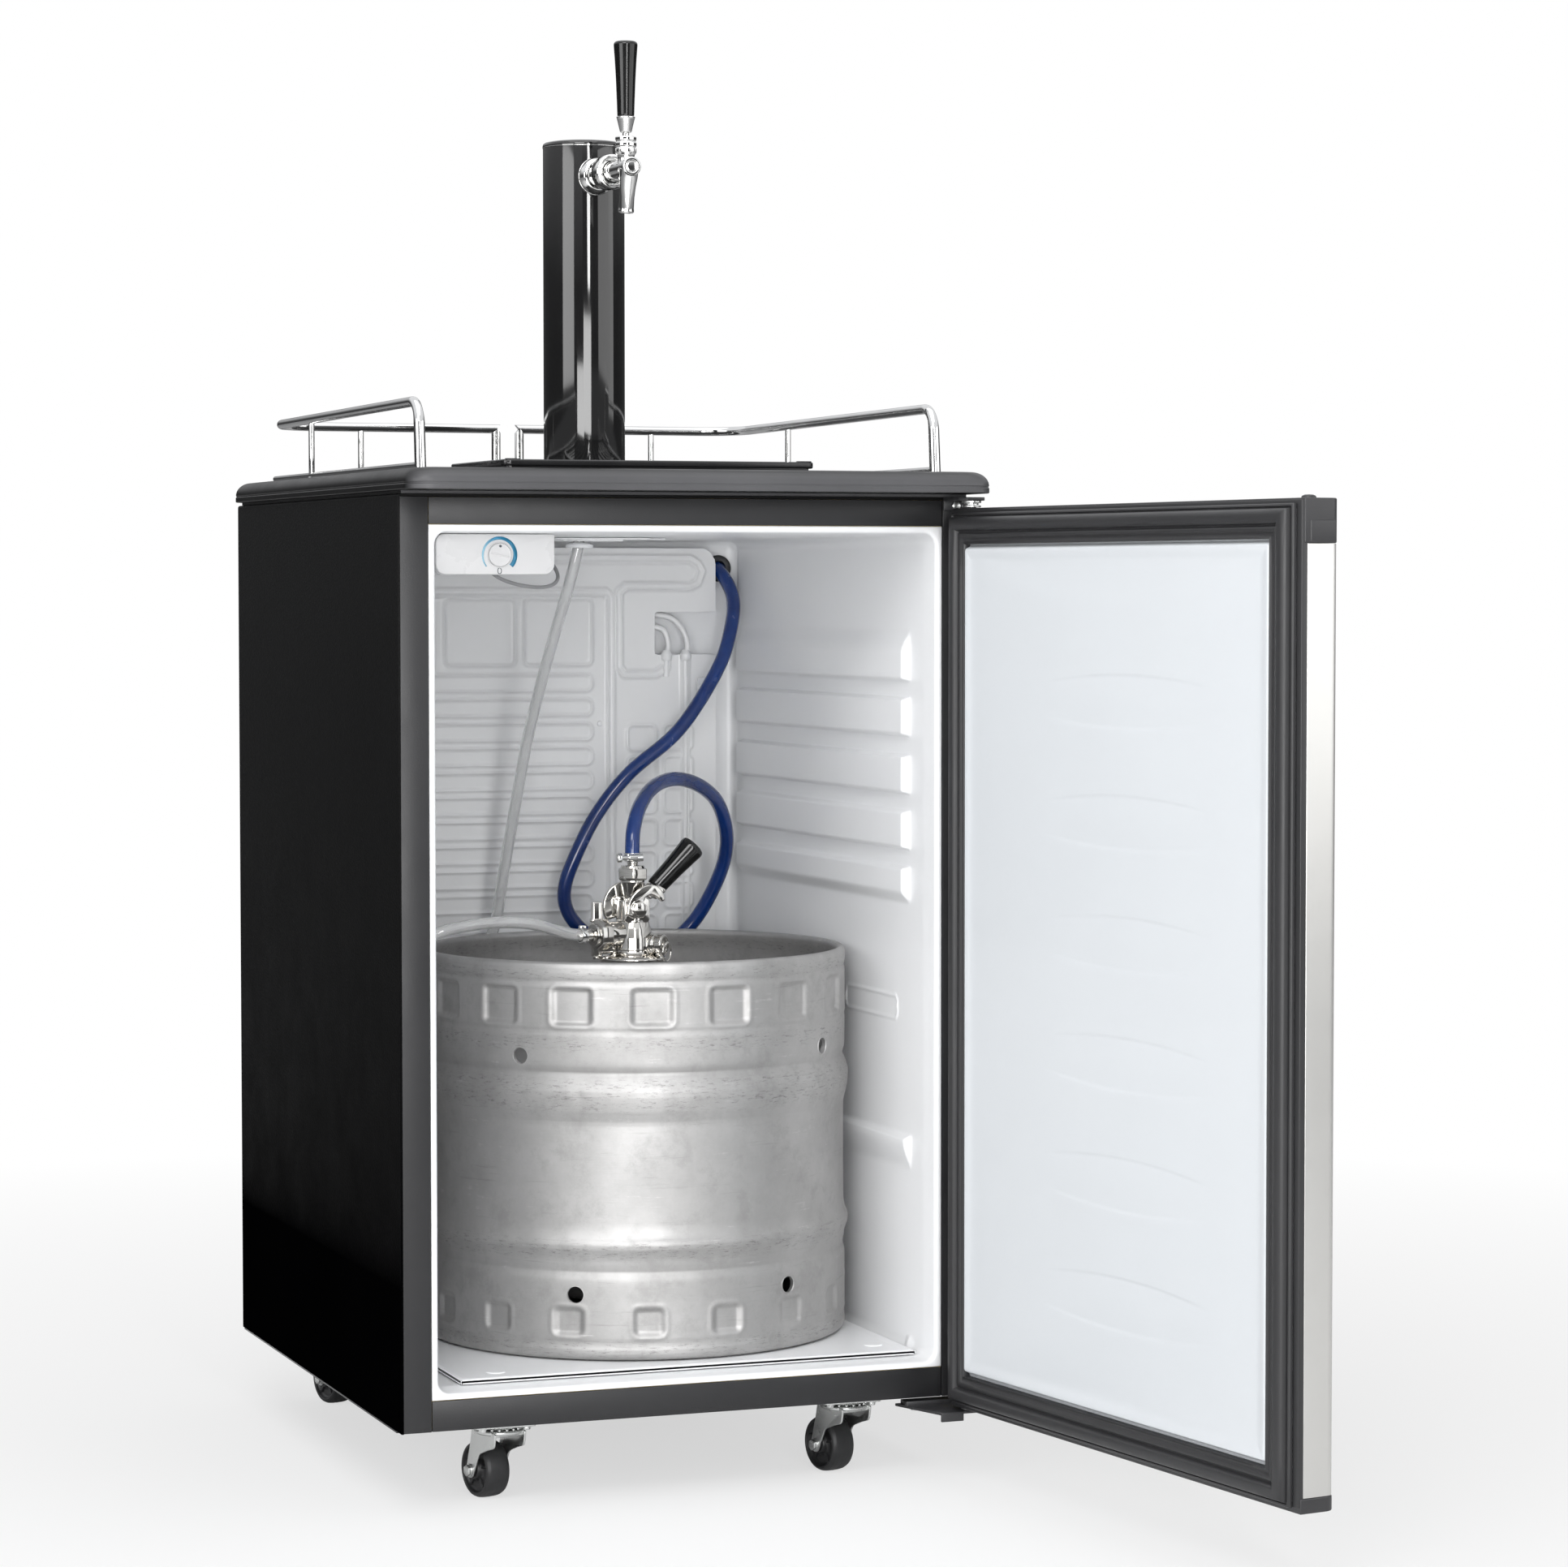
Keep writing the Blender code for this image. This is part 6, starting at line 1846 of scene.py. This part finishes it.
# ------------------------------------------------------------------ back of the cabinet
def compressor():
    """Two pressed halves with a seam flange, on a base plate with rubber mounts."""
    def pill(grow, z):
        edges = -105 + grow, 75 - grow, 482 + grow, 578 - grow
        return [(x, y, z) for x, y in rounded(*edges, max(44 - grow, 4), 14)]

    # Height of each ring and its inset from the seam flange's outline.
    stations = (
        (6, 30), (7, 22), (10, 12), (16, 5), (26, 2), (60, 1.4), (86, 1.4), (87.5, 0.2),
        (92.5, 0.2), (94, 3.0), (120, 3.4), (134, 6), (142, 11), (147.5, 19), (149.4, 29), (150, 38),
    )
    shell = lofted([pill(inset, z) for z, inset in stations])
    plate = prism(rounded(-125, 95, 480, 580, 12, 8), "z", 0.6, 3.2, 0.6, 2)
    publish("compressor_shell", [shell, plate], "compressor_black", "compressor", sharp=40)
    foot = [
        (0, 0), (8.6, 0), (8.6, 2.6), (6.4, 3.4), (6.4, 5.0),
        (8.2, 5.8), (8.2, 8.2), (4, 9.4), (0, 9.4),
    ]
    feet = [turned(foot, (x, y, 3.0), steps=32, soft=0.5) for x in (-112, 82) for y in (494, 566)]
    publish("compressor_mounts", feet, "wheel_black", sharp=40)
    box = [
        block(66, 97.6, 506, 559, 41, 109, 3.5, 4),
        block(97.2, 98.4, 512, 553, 47, 103, 0.5, 2),
        block(62, 70, 503, 562, 38, 112, 2, 3),
    ]
    publish("compressor_relay_box", box, "cap_black", sharp=40)
    # Corners, bend radius, steps in a bend, pipe radius.
    runs = (
        ([(-60, 530, 149), (-60, 530, 172), (-60, 566, 172), (-200, 566, 172), (-200, 572, 198)],
         12, 8, 3.0),
        ([(-20, 545, 149), (-20, 545, 190), (40, 545, 190), (40, 562, 215), (150, 562, 215)],
         12, 8, 4.0),
        ([(10, 512, 149.6), (10, 512, 165), (30, 512, 165)], 6, 6, 3.2),
    )
    pipes = [tube(bent_path(points, bend, steps), r, 18) for points, bend, steps, r in runs]
    publish("compressor_pipes", pipes, "copper", sharp=40)
    band = block(-62, 28, 576.6, 578.2, 100, 128, 0.5, 2)
    publish("compressor_band", band, "zinc", sharp=40)


def condenser():
    """A serpentine tube between two layers of upright wires, on four brackets."""
    points = [(-225, 578, 200)]
    for i in range(11):
        z = 300 + i * 47.0
        a = -225 if i % 2 == 0 else 225
        points += [(a, 578, z), (-a, 578, z)]
    parts = [tube(bent_path(points, 20, 12), 2.6, 16)]
    for k in range(34):
        x = -212 + k * 424 / 33
        for wire_x, y in ((x, 574.5), (x + 6, 581.5)):
            parts.append(rod((wire_x, y, 288), (wire_x, y, 784), 0.8, 8))
    head = [(0, 0), (3.4, 0), (3.2, 1.4), (0, 2.0)]
    for x in (-214, 214):
        for z in (306, 778):
            parts.append(block(x - 9, x + 9, 570.6, 573.6, z - 8, z + 8, 0.6, 2))
            parts.append(block(x - 3, x + 3, 572.6, 577.0, z - 5, z + 5, 0.6, 2))
            parts.append(turned(head, (x + 6.4, 573.4, z), BACK, 24, soft=0.4))
    publish("condenser_serpentine", parts, "compressor_black", "condenser_coil", sharp=40)


def mains_lead():
    """The lead coiled beside the compressor, with its plug."""
    cord = [(98.6, 532, 60), (130, 532, 60)]
    for i in range(26):
        t = 2 * math.pi * i / 11
        x = 178 + 42 * math.cos(math.pi + t)
        cord.append((x, 533 + i * 1.25, 110 + 62 * math.sin(math.pi + t) - 3 * i / 11))
    cord.append((200, 568, 48))
    sleeve = [(0, 0), (7.4, 0), (6.2, 3), (6.0, 8), (4.2, 9), (0, 9)]
    ridge = [(3.4, 0), (5.2, 0), (5.2, 1.2), (3.4, 1.2)]
    parts = [
        tube(relaxed(smooth_path(cord, 10), 2), 3.5, 20),
        block(188.5, 211.5, 557, 577.5, 16, 42, 3.6, 4),
        turned(sleeve, (200, 568, 41), steps=32, soft=0.6),
    ]
    for k in range(4):
        parts.append(hoop(ridge, (200, 568, 44 + 2.0 * k), steps=28, soft=0.3, arc=2))
    publish("mains_lead", parts, "cord_black", "power_cord", sharp=45)
    pins = [block(x0, x1, 561, 567, 12.2, 17, 0.3, 2) for x0, x1 in ((194, 195.6), (204.4, 206))]
    pins.append(rod((200, 573, 12.2), (200, 573, 17), 2.3, 20, soft=0.6))
    publish("mains_plug_pins", pins, "nickel", sharp=40)
    band = [(4.2, 0), (5.4, 0), (5.4, 3), (4.2, 3)]
    band = hoop(band, (137, 548, 106), steps=24, soft=0.3, arc=2)
    publish("mains_lead_tie", band, "cap_black", sharp=40)


# ------------------------------------------------------------------ stage, lights and camera
# Name, degrees round the tower from +x, distance, height, width, length, power, aim height.
# Lengths are in metres and power in watts.
LAMPS = (
    ("panel_left", 207, 3.2, 1.5, 1.95, 1.25, 29, 1.3),
    ("strip_front", 265.5, 3.9, 1.72, 0.4, 1.3, 25, 0.9),
    ("panel_right", 318, 3.6, 1.45, 3.4, 1.4, 26, 1.2),
    ("key_left", 240, 3.2, 2.9, 1.6, 1.2, 42, 0.45),
    ("low_front", 252, 3.4, 0.62, 2.4, 0.7, 40, 0.6),
    ("overhead", 250, 0.6, 3.3, 3.0, 3.0, 32, 0.0),
)


def lamp(name, azimuth, distance, height, width, length, power, aim):
    """A soft panel that looks at the tower's axis."""
    data = bpy.data.lights.new(name, "AREA")
    data.shape = "RECTANGLE"
    data.size, data.size_y = width, length
    data.energy = power
    obj = bpy.data.objects.new(name, data)
    a = math.radians(azimuth)
    centre = metres(0, 300, 0)
    x, y = centre.x + distance * math.cos(a), centre.y + distance * math.sin(a)
    obj.location = (x, y, height)
    look = Vector((centre.x, centre.y, aim)) - obj.location
    obj.rotation_mode = "QUATERNION"
    obj.rotation_quaternion = look.to_track_quat("-Z", "Y")
    obj.visible_camera = False
    bpy.context.scene.collection.objects.link(obj)


def studio_floor():
    """A pale floor that glows to the camera, more so away from the middle."""
    mesh = bpy.data.meshes.new("studio_floor")
    s = 14.0
    mesh.from_pydata([(-s, -s, 0), (s, -s, 0), (s, s, 0), (-s, s, 0)], [], [(0, 1, 2, 3)])
    floor = bpy.data.objects.new("studio_floor", mesh)
    bpy.context.scene.collection.objects.link(floor)
    material, tree, shader = new_material("studio_floor")
    feed(shader, {"Base Color": rgba(0.9), "Roughness": 0.9, "Specular IOR Level": 0.1})
    where = add(tree, "TexCoord").outputs["Object"]
    away = add(tree, "VectorMath", {0: where}, operation="LENGTH").outputs["Value"]
    far = map_range(tree, away, from_min=0.5, from_max=2.4, to_min=0.62)
    camera_ray = add(tree, "LightPath").outputs["Is Camera Ray"]
    seen = calculate(tree, "MULTIPLY", far, camera_ray)
    glow = add(tree, "Emission", {"Strength": 1.0}).outputs[0]
    both = add(tree, "MixShader", {0: seen, 1: shader.outputs[0], 2: glow})
    feed(tree.nodes["Material Output"], {"Surface": both.outputs[0]})
    mesh.materials.append(material)


def studio_world():
    """White to the camera; dim light elsewhere, but mirrors see a sky brighter with height."""
    world = bpy.data.worlds.new("studio")
    bpy.context.scene.world = world
    world.use_nodes = True
    tree = world.node_tree
    path = add(tree, "LightPath").outputs
    height = component(tree, add(tree, "TexCoord").outputs["Generated"], "z")
    sky = map_range(tree, height, from_min=0.1, from_max=0.42, to_min=0.06)
    tone = map_range(tree, path["Is Glossy Ray"], to_min=0.26, to_max=sky)
    light = tree.nodes["Background"]
    feed(light, {"Color": (0.97, 0.98, 1.0, 1), "Strength": tone})
    plain = add(tree, "Background", {"Color": rgba(1), "Strength": 1.0})
    inputs = {0: path["Is Camera Ray"], 1: light.outputs[0], 2: plain.outputs[0]}
    chosen = add(tree, "MixShader", inputs).outputs[0]
    feed(tree.nodes["World Output"], {"Surface": chosen})


def photo_camera():
    lens = bpy.data.cameras.new("photo_camera")
    lens.sensor_width = 36.0
    lens.lens = 99.28
    lens.clip_start, lens.clip_end = 0.05, 60.0
    camera = bpy.data.objects.new("photo_camera", lens)
    bpy.context.scene.collection.objects.link(camera)
    yaw, pitch, roll = 0.3578, 0.0450, -0.0006
    level = math.cos(pitch)
    ahead = Vector((math.sin(yaw) * level, math.cos(yaw) * level, -math.sin(pitch)))
    right = Vector((math.cos(yaw), -math.sin(yaw), 0))
    up = right.cross(ahead)
    cos, sin = math.cos(roll), math.sin(roll)
    right, up = right * cos + up * sin, up * cos - right * sin
    turn = Matrix((right, up, -ahead)).transposed().to_4x4()
    camera.matrix_world = Matrix.Translation(metres(-1249.96, -3574.66, 727.56)) @ turn
    bpy.context.scene.camera = camera


# ------------------------------------------------------------------ build
cabinet_shell()
cabinet_front()
worktop()
liner()
evaporator_sheet()
evaporator_lines()
thermostat()
floor_plate()
hidden_core()
keg()
coupler_casting()
relief_valve()
coupler_lever()
coupler_stem()
hoses()
door_skin()
door_caps()
door_panel()
door_seal()
hinges()
tower()
tap_shank()
tap_body()
tap_lever()
tray()
rails()
casters()
compressor()
condenser()
mains_lead()
studio_floor()
studio_world()
for settings in LAMPS:
    lamp(*settings)
photo_camera()
bpy.context.scene.view_settings.view_transform = "Standard"
